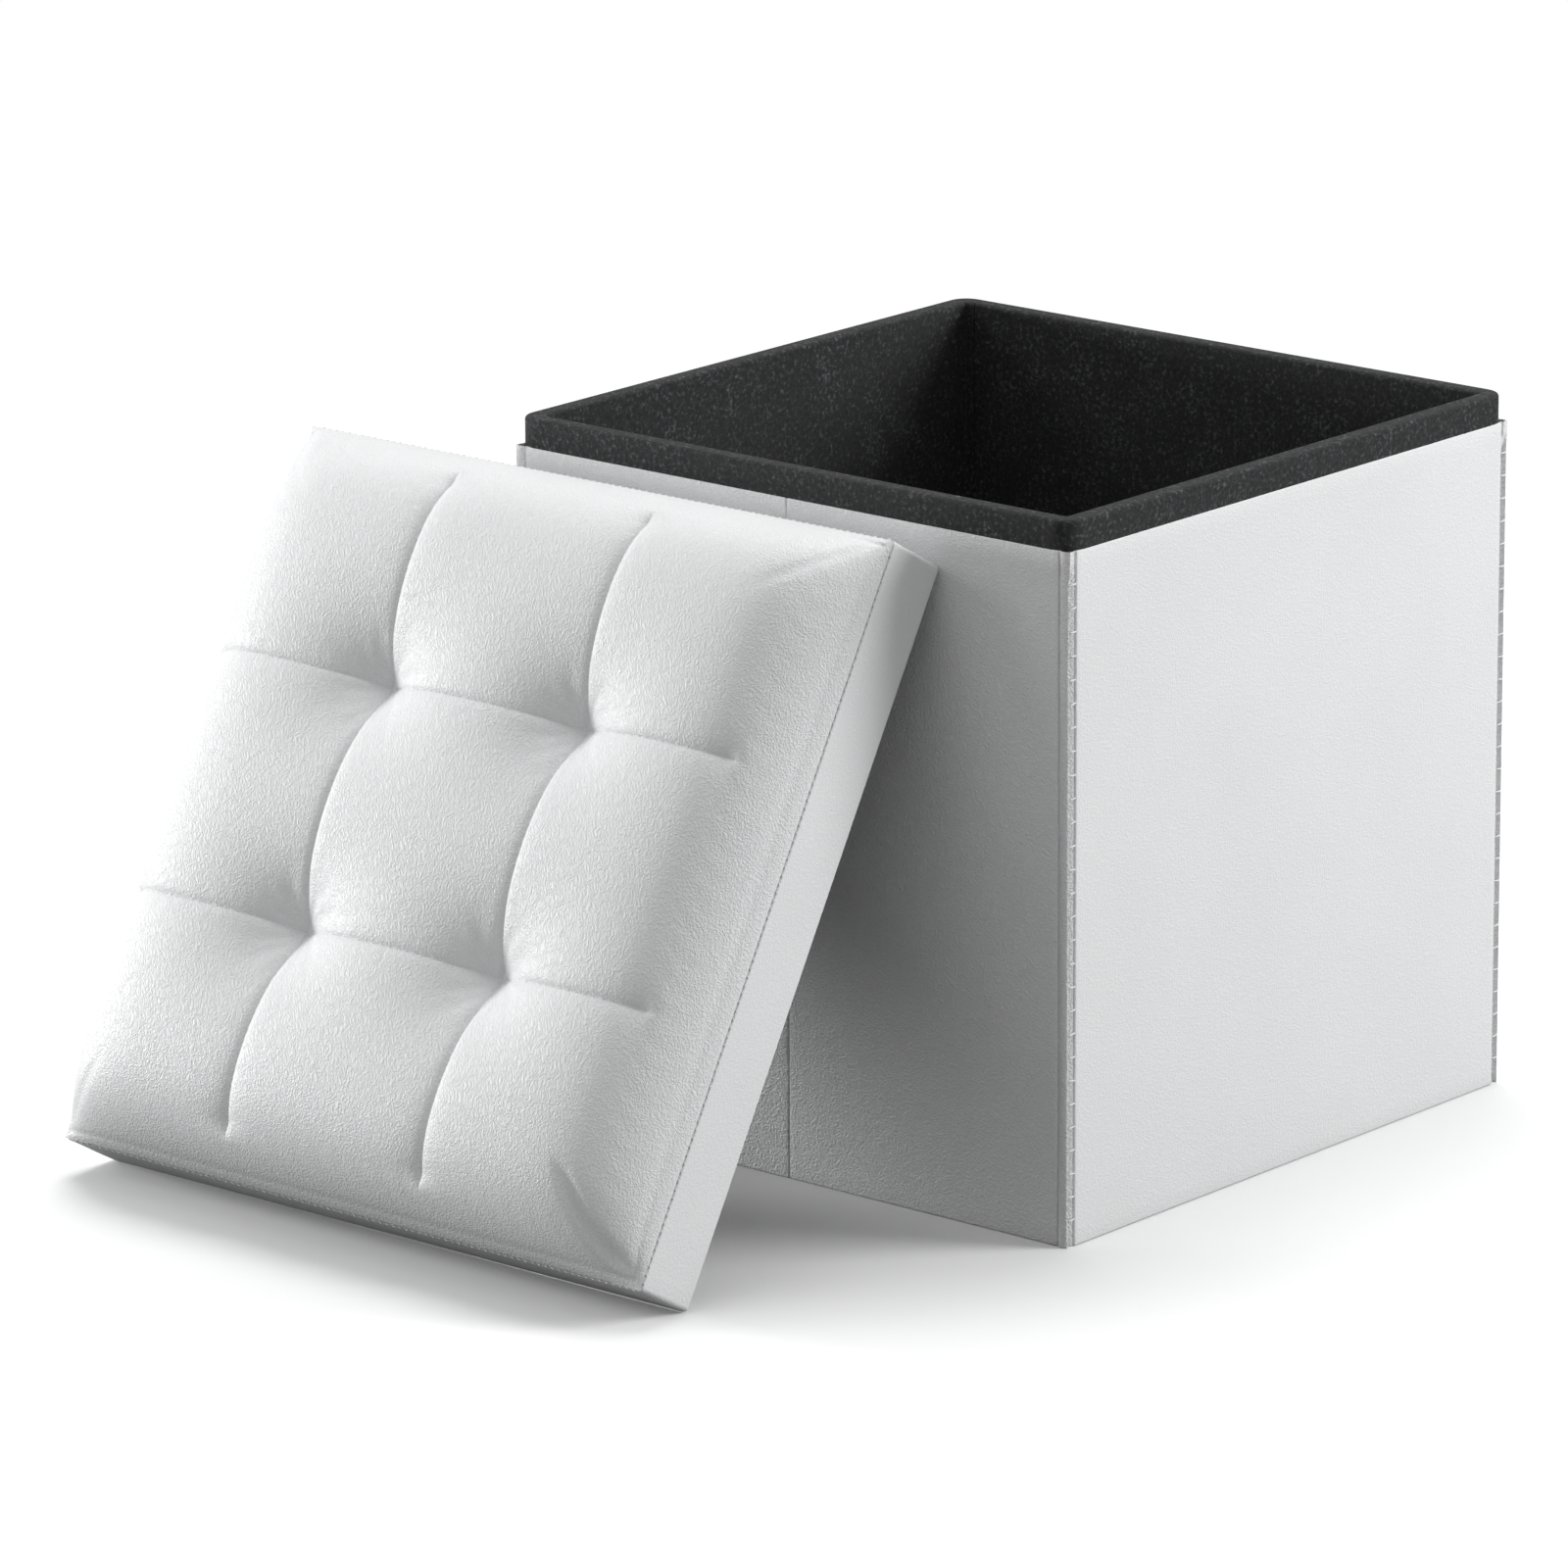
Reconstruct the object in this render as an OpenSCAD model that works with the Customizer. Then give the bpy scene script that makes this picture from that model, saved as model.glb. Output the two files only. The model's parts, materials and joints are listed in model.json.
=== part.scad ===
// Folding storage ottoman: a square box whose side walls fold inward,
// and a tufted lift-off lid that leans on one wall until it is put on.
// The front wall is at -Y, the creased side walls are at -X and +X,
// and the origin is on the floor at the middle of the box.

/* [Box] */
// Width of the box, across the plain front wall
box_w = 372; // [330:1:420]
// Depth of the box, along the creased side walls
box_d = 372; // [330:1:420]
// Height of the box from the floor to its rim
box_h = 382; // [320:1:440]
// Thickness of the board inside each wall
panel_t = 9; // [6:0.5:12]
// Thickness of the leather skin on the walls
skin_t = 1.2; // [1:0.1:2]
// Thickness of the cloth lining
lining_t = 0.8; // [0.5:0.1:1]
// Height of the cloth band turned down over the outside of the rim
band_h = 16; // [10:1:30]
// Radius of the rim's corners, seen from above
rim_r = 12; // [9:1:16]
// Height of the leather's lower hem above the floor
hem_lift = 1; // [0.5:0.5:3]

/* [Folding walls] */
// Space left between a folded side half and the wall beside it
fold_gap = 6; // [5.5:0.5:10]
// Slit between two leaves that fold on each other
leaf_slit = 0.4; // [0.3:0.1:1]
// Distance of the crease hinge line outside the leather
crease_out = 0.3; // [0.3:0.1:1]

/* [Corner seams] */
// Diameter of the stitched bead down each corner
bead_d = 7; // [6:0.5:9]
// Height of the bead above the leather of both walls
bead_proud = 0.6; // [0.4:0.1:1]
// Clearance between the bead and the pieces it lies in
bead_clear = 0.2; // [0.1:0.1:0.4]

/* [Floor and base board] */
// Thickness of the sewn cloth floor
floor_t = 1.2; // [1:0.1:2]
// Thickness of the base board
base_t = 3; // [2:0.5:3]
// Thickness of the cloth sleeve over the base board
sleeve_t = 0.6; // [0.4:0.1:0.8]
// Room between the sleeve and the linings beside it
sleeve_clear = 0.3; // [0.2:0.1:0.4]
// Room left at each end of the base board
base_end_clear = 3; // [2:0.5:6]
// Height of the stowed base board's lower edge above the floor
base_lift = 5; // [4:0.5:10]
// Height of the cloth hinge strip that carries the base board
strip_h = 30; // [20:1:50]
// Width of the pull loop on the base board
pull_w = 25; // [15:1:40]
// Length of the pull loop above the base board
pull_l = 18; // [10:1:20]

/* [Lid] */
// Outer width and depth of the lid
lid_size = 400; // [385:1:440]
// Height of the lid's side, from its free edge to the top seam
lid_side_h = 41; // [38:1:60]
// Depth of the recess that takes the box's rim
lid_recess = 24; // [15:1:26]
// Thickness of the lid's top board
lid_board_t = 9; // [6:0.5:10]
// Thickness of the boards round the lid's side
rail_t = 8; // [5:0.5:9]
// Thickness of the leather on the lid
border_t = 1.2; // [1:0.1:2]
// Radius of the lid's four upright corners
lid_r = 3; // [1:0.5:12]
// Gap between the hem round the free edge and the recess lining
hem_gap = 0.4; // [0.2:0.1:0.6]

/* [Tufted pad] */
// Height of the pad's middle above the top seam
pad_rise = 47; // [40:1:52]
// Distance from the lid's edge over which the pad curves up to its full height
pad_slope = 85; // [70:1:95]
// How much rounder the pad's corners are half-way up than the lid's
pad_corner = 32; // [20:1:40]
// Distance of each sewn channel from the lid's middle line
channel_at = 67; // [60:1:72]
// Depth of the sewn channels in the middle of the pad
channel_depth = 4; // [3:0.5:6]
// Radius of the sewn channels
channel_r = 14; // [10:1:18]
// Distance from the lid's edge to where a channel starts to fall with the pad
channel_bend = 60; // [55:1:70]
// Distance from the lid's edge to where a channel ends
channel_stop = 18; // [14:1:24]
// Fall of a channel between those two
channel_fall = 18; // [14:1:20]
// Depth of the pulled tufts where two channels cross
tuft_depth = 26; // [20:1:30]
// Radius of the hollow round each tuft
tuft_r = 42; // [35:1:48]
// Gap in the top seam, between the pad's leather and the leather round the side
seam_gap = 0.05; // [0.02:0.01:0.2]

/* [Tuft cords] */
// Distance from the lid's edge to the ends of the cords
cord_stop = 34; // [25:1:60]
// Diameter of the cord sewn under each pair of tufts
cord_d = 3; // [2:0.5:3]
// Diameter of the knot under each tuft
knot_d = 6; // [5:0.5:6]
// Free space round the cords and knots
cord_clear = 0.3; // [0.3:0.1:0.5]
// Diameter of the twine that ties each tuft down
tie_d = 2; // [1:0.5:3]
// Length of a staple's crown
staple_l = 10; // [6:1:12]
// Width of a staple's wire
staple_w = 1; // [0.6:0.1:1.5]
// Number of staples along each side of the recess
staples_per_side = 6; // [3:1:10]
// Distance of the staples from the rim that the lid closes on
staple_in = 3; // [1:0.5:6]
// Least distance of the staples from the cloth inside the lid's side
staple_edge = 3; // [1:0.5:10]
// Depth that the staples sink into the recess lining
staple_sink = 0.3; // [0.3:0.05:0.4]

/* [Resting place of the lid] */
// Angle between the leaning lid and the upright wall
lean_angle = 30; // [15:1:40]
// How far the leaning lid stands towards the back
lean_shift = 97; // [0:1:120]
// Gap between the lid's upper edge and the corner bead it rests on
lean_gap = 0.3; // [0.3:0.1:1]

/* [Hidden] */

leather = [0.90, 0.90, 0.91];
cloth = [0.13, 0.13, 0.14];
board = [0.72, 0.58, 0.40];
foam_colour = [0.94, 0.91, 0.78];
twine = [0.85, 0.82, 0.74];
steel = [0.72, 0.72, 0.74];

half_w = box_w / 2;
half_d = box_d / 2;
wall_t = skin_t + panel_t + lining_t;
band_z = box_h - band_h;
// Lines on which the side leaves turn at the front and back walls
hinge_y = half_d - wall_t - fold_gap;
bead_inset = bead_d / 2 - bead_proud;
past = 1;

half_lid = lid_size / 2;
rim_t = border_t + rail_t + lining_t;
board_z = lid_recess + lining_t;
pad_z = board_z + lid_board_t;
pad_top = lid_side_h + pad_rise;
tuft_floor = pad_top - tuft_depth;
tuft_flat = 3;
knot_z = pad_z + cord_clear + knot_d / 2;
sleeve_inner_y = half_d - wall_t - sleeve_clear;
sleeve_depth = base_t + 2 * sleeve_t;
base_h = min(2 * (half_w - wall_t) - 24, box_h - base_lift - pull_l - 12);

// A block between two opposite corners
module block(low, high) {
    translate(low) cube(high - low);
}

// An upright prism with rounded corners, inset from a rectangle w by d
module round_prism(w, d, inset, r, low_z, high_z) {
    x = w / 2 - inset;
    y = d / 2 - inset;
    c = max(r - inset, 0.5);
    block([-x + c, -y, low_z], [x - c, y, high_z]);
    block([-x, -y + c, low_z], [x, y - c, high_z]);
    for (sx = [-1, 1], sy = [-1, 1])
        translate([sx * (x - c), sy * (y - c), low_z])
            cylinder(r = c, h = high_z - low_z, $fn = 48);
}

// The square ring of a wall layer, from its inset to its inset plus t
module wall_ring(inset, t, low_z, high_z) {
    difference() {
        block([-half_w + inset, -half_d + inset, low_z],
              [half_w - inset, half_d - inset, high_z]);
        block([-half_w + inset + t, -half_d + inset + t, low_z - past],
              [half_w - inset - t, half_d - inset - t, high_z + past]);
    }
}

// The cloth over all four walls: inner face, cap on the rim and outer band
module whole_lining() {
    difference() {
        union() {
            round_prism(box_w, box_d, skin_t - lining_t, rim_r, band_z, box_h);
            block([-half_w + skin_t + panel_t, -half_d + skin_t + panel_t, floor_t + lining_t],
                  [half_w - skin_t - panel_t, half_d - skin_t - panel_t, band_z]);
        }
        block([-half_w + wall_t, -half_d + wall_t, 0],
              [half_w - wall_t, half_d - wall_t, box_h + past]);
        difference() {
            round_prism(box_w, box_d, skin_t, rim_r, band_z - past, box_h - lining_t);
            block([-half_w + skin_t + panel_t, -half_d + skin_t + panel_t, 0],
                  [half_w - skin_t - panel_t, half_d - skin_t - panel_t, box_h + past]);
        }
    }
}

// The board core of a wall, sharp below the band and rounded beside it
module core_trim(low, high) {
    intersection() {
        block([low[0], low[1], 0], [high[0], high[1], box_h - lining_t]);
        union() {
            block([-half_w, -half_d, -past], [half_w, half_d, band_z]);
            round_prism(box_w, box_d, skin_t, rim_r, band_z - past, box_h);
        }
    }
}

// Space of the front (end = -1) or back (end = 1) wall with its corners
module end_zone(end) {
    start = hinge_y + leaf_slit;
    y = end < 0 ? [-half_d - past, -start] : [start, half_d + past];
    block([-half_w - past, y[0], -past], [half_w + past, y[1], box_h + past]);
}

// Space of one side leaf: side = -1 left or 1 right, end = -1 front or 1 rear
module leaf_zone(side, end) {
    x = side < 0 ? [-half_w - past, -half_w + wall_t] : [half_w - wall_t, half_w + past];
    y = end < 0 ? [-hinge_y, -leaf_slit / 2] : [leaf_slit / 2, hinge_y];
    block([x[0], y[0], -past], [x[1], y[1], box_h + past]);
}

// The four places of the corner beads
module at_bead(side, end) {
    translate([side * (half_w - bead_inset), end * (half_d - bead_inset), 0]) children();
}

// Room for the beads of one end wall, with the corner outside them cut off
module bead_holes(end) {
    for (side = [-1, 1])
        at_bead(side, end) {
            translate([0, 0, -past])
                cylinder(d = bead_d + 2 * bead_clear, h = band_z + past, $fn = 48);
            block([min(0, side * bead_d), min(0, end * bead_d), -past],
                  [max(0, side * bead_d), max(0, end * bead_d), band_z]);
        }
}

// Board core of the front or back wall
module end_panel(end) {
    y0 = half_d - skin_t - panel_t;
    y1 = half_d - skin_t;
    difference() {
        core_trim([-half_w + skin_t, end < 0 ? -y1 : y0],
                  [half_w - skin_t, end < 0 ? -y0 : y1]);
        bead_holes(end);
    }
}

// Leather of the front or back wall, turned round both corners
module end_skin(end) {
    difference() {
        intersection() {
            wall_ring(0, skin_t, hem_lift, band_z);
            end_zone(end);
        }
        bead_holes(end);
    }
}

module end_lining(end) {
    intersection() {
        whole_lining();
        end_zone(end);
    }
}

// Board core of one folding side leaf
module leaf_panel(side, end) {
    x0 = half_w - skin_t - panel_t;
    x1 = half_w - skin_t;
    y = end < 0 ? [-hinge_y, -leaf_slit / 2] : [leaf_slit / 2, hinge_y];
    block([side < 0 ? -x1 : x0, y[0], 0], [side < 0 ? -x0 : x1, y[1], box_h - lining_t]);
}

module leaf_skin(side, end) {
    intersection() {
        wall_ring(0, skin_t, hem_lift, band_z);
        leaf_zone(side, end);
    }
}

module leaf_lining(side, end) {
    intersection() {
        whole_lining();
        leaf_zone(side, end);
    }
}

// Stitched bead down one corner
module bead(side, end) {
    at_bead(side, end) translate([0, 0, hem_lift])
        cylinder(d = bead_d, h = band_z - hem_lift, $fn = 48);
}

module front_panel() { color(board) end_panel(-1); }
module front_skin() { color(leather) end_skin(-1); }
module front_lining() { color(cloth) end_lining(-1); }
module back_panel() { color(board) end_panel(1); }
module back_skin() { color(leather) end_skin(1); }
module back_lining() { color(cloth) end_lining(1); }
module left_front_panel() { color(board) leaf_panel(-1, -1); }
module left_front_skin() { color(leather) leaf_skin(-1, -1); }
module left_front_lining() { color(cloth) leaf_lining(-1, -1); }
module left_rear_panel() { color(board) leaf_panel(-1, 1); }
module left_rear_skin() { color(leather) leaf_skin(-1, 1); }
module left_rear_lining() { color(cloth) leaf_lining(-1, 1); }
module right_front_panel() { color(board) leaf_panel(1, -1); }
module right_front_skin() { color(leather) leaf_skin(1, -1); }
module right_front_lining() { color(cloth) leaf_lining(1, -1); }
module right_rear_panel() { color(board) leaf_panel(1, 1); }
module right_rear_skin() { color(leather) leaf_skin(1, 1); }
module right_rear_lining() { color(cloth) leaf_lining(1, 1); }
module bead_front_left() { color(leather) bead(-1, -1); }
module bead_front_right() { color(leather) bead(1, -1); }
module bead_back_left() { color(leather) bead(-1, 1); }
module bead_back_right() { color(leather) bead(1, 1); }

// Soft floor sewn to the walls' lower edges; it crumples when the box folds
module floor_cloth() {
    color(cloth)
        block([-half_w + wall_t + sleeve_clear, -half_d + wall_t + sleeve_clear, 0],
              [half_w - wall_t - sleeve_clear, half_d - wall_t - sleeve_clear, floor_t]);
}

// Space of the stowed base board, grown on all sides by a margin
module base_block(margin) {
    x = half_w - wall_t - base_end_clear - sleeve_t;
    y = -sleeve_inner_y + sleeve_t;
    block([-x - margin, y - margin, base_lift - margin],
          [x + margin, y + base_t + margin, base_lift + base_h + margin]);
}

// Loose base board, stowed upright against the front wall
module base_board() {
    color(board) base_block(0);
}

module base_sleeve() {
    color(cloth)
        difference() {
            base_block(sleeve_t);
            base_block(0);
        }
}

// Cloth strip along the lower edge on which the base board folds down
module base_hinge_strip() {
    x = half_w - wall_t - base_end_clear;
    y = -sleeve_inner_y + sleeve_depth;
    color(cloth) {
        block([-x, y, base_lift - sleeve_t - lining_t], [x, y + lining_t, strip_h]);
        block([-x, -sleeve_inner_y, base_lift - sleeve_t - lining_t],
              [x, y + lining_t, base_lift - sleeve_t]);
    }
}

// Ribbon loop that lifts the base board
module base_pull_loop() {
    y = -sleeve_inner_y + sleeve_depth / 2;
    z = base_lift + base_h + sleeve_t;
    color(cloth)
        translate([0, y - sleeve_t, z])
            rotate([90, 0, 0])
                mirror([0, 0, 1])
                    linear_extrude(2 * sleeve_t)
                        difference() {
                            union() {
                                translate([-pull_w / 2, 0]) square([pull_w, pull_l - pull_w / 2]);
                                translate([0, pull_l - pull_w / 2]) circle(d = pull_w, $fn = 48);
                            }
                            translate([-pull_w / 2 + 4, -past])
                                square([pull_w - 8, pull_l - pull_w / 2 + past]);
                            translate([0, pull_l - pull_w / 2]) circle(d = pull_w - 8, $fn = 48);
                            translate([-pull_w, -pull_w]) square([2 * pull_w, pull_w]);
                        }
}

// Puts a piece of the lid, drawn level on its free edge, in its leaning place
module leaning() {
    translate([-half_w - bead_proud - lean_gap - lid_size * sin(lean_angle), lean_shift, 0])
        rotate([0, lean_angle - 90, 0])
            translate([half_lid, 0, 0])
                children();
}

module lid_prism(inset, low_z, high_z) {
    round_prism(lid_size, lid_size, inset, lid_r, low_z, high_z);
}

module lid_board() {
    color(board) leaning()
        difference() {
            lid_prism(border_t, board_z, pad_z);
            at_tufts() translate([0, 0, board_z - past])
                cylinder(d = tie_d + 2 * cord_clear, h = lid_board_t + 2 * past, $fn = 24);
        }
}

// Board round the side of the lid, cut to one side of the square
module rail_ring() {
    difference() {
        lid_prism(border_t, border_t, board_z);
        lid_prism(border_t + rail_t, 0, board_z + past);
    }
}

// Front and back rails run the full width, and the others stand between them
module long_rail(end) {
    inner = half_lid - border_t - rail_t;
    y = end < 0 ? [-half_lid, -inner] : [inner, half_lid];
    color(board) leaning()
        intersection() {
            rail_ring();
            block([-half_lid, y[0], 0], [half_lid, y[1], board_z]);
        }
}

module short_rail(side) {
    inner = half_lid - border_t - rail_t;
    x = side < 0 ? [-half_lid, -inner] : [inner, half_lid];
    color(board) leaning()
        intersection() {
            rail_ring();
            block([x[0], -inner, 0], [x[1], inner, board_z]);
        }
}

module lid_rail_front() { long_rail(-1); }
module lid_rail_back() { long_rail(1); }
module lid_rail_left() { short_rail(-1); }
module lid_rail_right() { short_rail(1); }

// Leather strip round the side, turned under the rails along the free edge
module lid_border() {
    color(leather) leaning()
        difference() {
            lid_prism(0, 0, lid_side_h);
            lid_prism(border_t, border_t, lid_side_h + past);
            lid_prism(border_t + rail_t, -past, lid_side_h);
        }
}

module lid_lining() {
    color(cloth) leaning()
        difference() {
            lid_prism(border_t + rail_t, hem_gap, board_z);
            lid_prism(rim_t, 0, lid_recess);
            staple_rows();
        }
}

// Four upright discs at the corners of a square
module pad_ring(inset, r, z, h) {
    c = half_lid - inset - r;
    for (sx = [-1, 1], sy = [-1, 1])
        translate([sx * c, sy * c, z]) cylinder(r = r, h = h, $fn = 24);
}

// The pad's outside, or a surface that lies a given depth below it. Its side is a quarter of
// an ellipse, from upright at the top seam to level at the middle.
module pad_form(depth, low_z) {
    difference() {
        hull() {
            pad_ring(depth, max(lid_r - depth, 0.5), low_z, lid_side_h + 0.5 - low_z);
            for (a = [18 : 18 : 90])
                pad_ring(depth + (pad_slope - depth) * (1 - cos(a)),
                         lid_r + pad_corner * sin(min(2 * a, 90)) - depth * cos(a),
                         lid_side_h + (pad_rise - depth) * sin(a) - 0.5, 0.5);
        }
        channels(depth);
        tuft_hollows(depth);
    }
}

// Round-bottomed channels, two each way, that fall with the pad towards its edge
module channels(depth) {
    reach = half_lid - channel_bend;
    run = channel_bend - channel_stop;
    tilt = atan(channel_fall / run);
    r = channel_r + depth;
    lap = r * tan(tilt / 2);
    for (turn = [0, 90], at = [-channel_at, channel_at])
        rotate([0, 0, turn]) translate([at, 0, pad_top - channel_depth + channel_r]) {
            translate([0, -reach - lap, 0]) rotate([-90, 0, 0])
                cylinder(r = r, h = 2 * (reach + lap), $fn = 24);
            for (end = [0, 180])
                rotate([0, 0, end]) translate([0, reach, 0]) rotate([-90 - tilt, 0, 0]) {
                    translate([0, 0, -lap])
                        cylinder(r = r, h = run / cos(tilt) + lap, $fn = 24);
                    translate([0, 0, run / cos(tilt)]) sphere(r = r, $fn = 24);
                }
        }
}

module at_tufts() {
    for (x = [-channel_at, channel_at], y = [-channel_at, channel_at])
        translate([x, y, 0]) children();
}

// Cone-shaped hollows with a small flat bottom, where the leather is tied down
module tuft_hollows(depth) {
    slope = atan(tuft_depth / tuft_r);
    low_r = tuft_flat + depth * tan(slope / 2);
    h = tuft_depth + 10;
    at_tufts() translate([0, 0, tuft_floor - depth])
        cylinder(r1 = low_r, r2 = low_r + h / tan(slope), h = h, $fn = 36);
}

// Tunnels for the cords and the twine and hollows for the knots, in the foam
module cord_tunnels() {
    for (x = [-channel_at, channel_at])
        translate([x, half_lid - cord_stop, knot_z]) rotate([90, 0, 0])
            cylinder(d = cord_d + 2 * cord_clear, h = lid_size - 2 * cord_stop, $fn = 24);
    at_tufts() {
        translate([0, 0, knot_z])
            sphere(d = knot_d + 2 * cord_clear, $fn = 24);
        translate([0, 0, knot_z])
            cylinder(d = tie_d + 2 * cord_clear, h = tuft_floor - knot_z, $fn = 24);
    }
}

module lid_foam() {
    color(foam_colour) leaning()
        difference() {
            pad_form(border_t, pad_z);
            cord_tunnels();
        }
}

// Tufted leather top, sewn to the border along the top seam
module lid_cover() {
    color(leather) leaning()
        difference() {
            pad_form(0, lid_side_h + seam_gap);
            pad_form(border_t, lid_side_h - past);
        }
}

// Crowns of the staples, sunk into the lining just inside the box's rim
module staple_rows() {
    row = min(min(half_w, half_d) - wall_t - staple_in,
              half_lid - rim_t - staple_edge) - staple_w;
    run = 2 * (row - staple_l);
    for (turn = [0, 90, 180, 270])
        rotate([0, 0, turn])
            for (i = [0 : staples_per_side - 1])
                translate([run * ((i + 0.5) / staples_per_side - 0.5) - staple_l / 2,
                           row, lid_recess + staple_sink - staple_w / 2])
                    cube([staple_l, staple_w, staple_w / 2]);
}

// Staples that hold the recess lining to the board
module lid_staples() {
    color(steel) leaning() staple_rows();
}

// Twine that holds each tuft down: through the board, and from above the knot to the leather
module tuft_ties() {
    knot_top = knot_z + knot_d / 2 + cord_clear;
    color(twine) leaning()
        at_tufts() {
            translate([0, 0, board_z])
                cylinder(d = tie_d, h = lid_board_t, $fn = 24);
            translate([0, 0, knot_top])
                cylinder(d = tie_d, h = tuft_floor - border_t - knot_top, $fn = 24);
        }
}

// Knots under three of the four tufts
module tuft_knots() {
    color(twine) leaning()
        for (x = [-channel_at, channel_at], y = [-channel_at, channel_at])
            if (x < 0 || y > 0)
                translate([x, y, knot_z]) sphere(d = knot_d, $fn = 32);
}

// Cord under a pair of tufts, broken where a knot sits on it
module knotted_cord(x) {
    length = lid_size - 2 * cord_stop - 2 * cord_clear;
    leaning()
        difference() {
            translate([x, length / 2, knot_z]) rotate([90, 0, 0])
                cylinder(d = cord_d, h = length, $fn = 24);
            for (y = [-channel_at, channel_at])
                translate([x, y, knot_z]) sphere(d = knot_d + cord_clear, $fn = 32);
        }
}

module tuft_cord() { color(twine) knotted_cord(-channel_at); }

// The knot and cord on whose centres the lid turns as it is carried over
module swing_knot() {
    color(twine) leaning()
        translate([channel_at, -channel_at, knot_z]) sphere(d = knot_d, $fn = 32);
}

module swing_cord() { color(twine) knotted_cord(channel_at); }

front_panel();
front_skin();
front_lining();
back_panel();
back_skin();
back_lining();
left_front_panel();
left_front_skin();
left_front_lining();
left_rear_panel();
left_rear_skin();
left_rear_lining();
right_front_panel();
right_front_skin();
right_front_lining();
right_rear_panel();
right_rear_skin();
right_rear_lining();
bead_front_left();
bead_front_right();
bead_back_left();
bead_back_right();
floor_cloth();
base_board();
base_sleeve();
base_hinge_strip();
base_pull_loop();
lid_board();
lid_rail_front();
lid_rail_back();
lid_rail_left();
lid_rail_right();
lid_border();
lid_foam();
lid_cover();
lid_lining();
lid_staples();
tuft_ties();
tuft_knots();
tuft_cord();
swing_knot();
swing_cord();
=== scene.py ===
"""Folding storage ottoman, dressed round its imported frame: a creased leather box lined with black
cloth, and a tufted lid that leans on its left wall. Everything is in metres, in the frame's axes:
+Z up, -Y towards the plain front wall, -X towards the wall that the lid leans on."""
import json
import bpy
import numpy as np
from mathutils import Matrix, Vector


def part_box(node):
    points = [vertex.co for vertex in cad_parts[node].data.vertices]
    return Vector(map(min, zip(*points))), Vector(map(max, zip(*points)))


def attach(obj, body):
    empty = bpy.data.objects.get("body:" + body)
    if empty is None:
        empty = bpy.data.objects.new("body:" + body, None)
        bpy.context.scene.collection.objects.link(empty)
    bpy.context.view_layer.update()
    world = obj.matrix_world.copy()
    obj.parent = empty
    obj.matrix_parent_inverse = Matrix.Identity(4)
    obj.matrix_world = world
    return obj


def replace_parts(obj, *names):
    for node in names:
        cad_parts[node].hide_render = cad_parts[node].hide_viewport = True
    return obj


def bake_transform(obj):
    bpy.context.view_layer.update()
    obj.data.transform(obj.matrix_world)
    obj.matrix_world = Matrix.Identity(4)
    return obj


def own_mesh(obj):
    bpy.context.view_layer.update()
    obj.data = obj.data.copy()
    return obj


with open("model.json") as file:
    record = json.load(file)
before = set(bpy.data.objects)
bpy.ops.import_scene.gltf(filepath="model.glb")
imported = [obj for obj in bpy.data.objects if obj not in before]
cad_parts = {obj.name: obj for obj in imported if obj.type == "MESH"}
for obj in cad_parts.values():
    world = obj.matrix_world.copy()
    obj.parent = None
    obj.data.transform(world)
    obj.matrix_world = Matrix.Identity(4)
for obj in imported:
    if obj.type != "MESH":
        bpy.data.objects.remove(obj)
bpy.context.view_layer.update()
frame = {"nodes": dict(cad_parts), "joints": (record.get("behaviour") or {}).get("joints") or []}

# --- Camera ---------------------------------------------------------------------------------------
# A long lens, five metres away and 1.5 m up, turned 50 degrees round from the plain wall. It looks
# down a little, and the box fills the right half of the square picture.
CAMERA_PLACE = (-3.8413, -3.0964, 1.5377)
CAMERA_TURN, CAMERA_DIP, CAMERA_ROLL = np.radians((49.7116, 15.4453, -0.2978))
camera_data = bpy.data.cameras.new("camera")
camera_data.sensor_width, camera_data.lens = 36.0, 220.77
camera_data.clip_start, camera_data.clip_end = 0.1, 60.0
camera = bpy.data.objects.new("camera", camera_data)
bpy.context.scene.collection.objects.link(camera)
ahead = np.array((np.sin(CAMERA_TURN) * np.cos(CAMERA_DIP),
                  np.cos(CAMERA_TURN) * np.cos(CAMERA_DIP), -np.sin(CAMERA_DIP)))
level_right = np.array((np.cos(CAMERA_TURN), -np.sin(CAMERA_TURN), 0.0))
level_up = np.cross(level_right, ahead)
right = np.cos(CAMERA_ROLL) * level_right + np.sin(CAMERA_ROLL) * level_up
up = np.cos(CAMERA_ROLL) * level_up - np.sin(CAMERA_ROLL) * level_right
turn = Matrix(np.column_stack((right, up, -ahead)).tolist()).to_4x4()
camera.matrix_world = Matrix.Translation(CAMERA_PLACE) @ turn
bpy.context.scene.camera = camera
bpy.context.scene.view_settings.view_transform = "Standard"

# --- Plain front wall and its mate at the back ----------------------------------------------------
# Imitation leather, 1.1 mm thick, on a film of glue over a fibreboard panel. Each sheet is a thin
# closed slab whose four edges roll back towards the board, and its top runs up under the band.


class Socket:
    """A shader value that maths can be written with: each operator adds one Math node."""

    def __init__(self, paint, link):
        self.paint, self.link = paint, link

    def _maths(self, operation, *values):
        return self.paint.node("ShaderNodeMath", {"operation": operation}, *values)

    def __add__(self, other): return self._maths("ADD", self, other)
    def __radd__(self, other): return self._maths("ADD", other, self)
    def __sub__(self, other): return self._maths("SUBTRACT", self, other)
    def __rsub__(self, other): return self._maths("SUBTRACT", other, self)
    def __mul__(self, other): return self._maths("MULTIPLY", self, other)
    def __rmul__(self, other): return self._maths("MULTIPLY", other, self)


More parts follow.
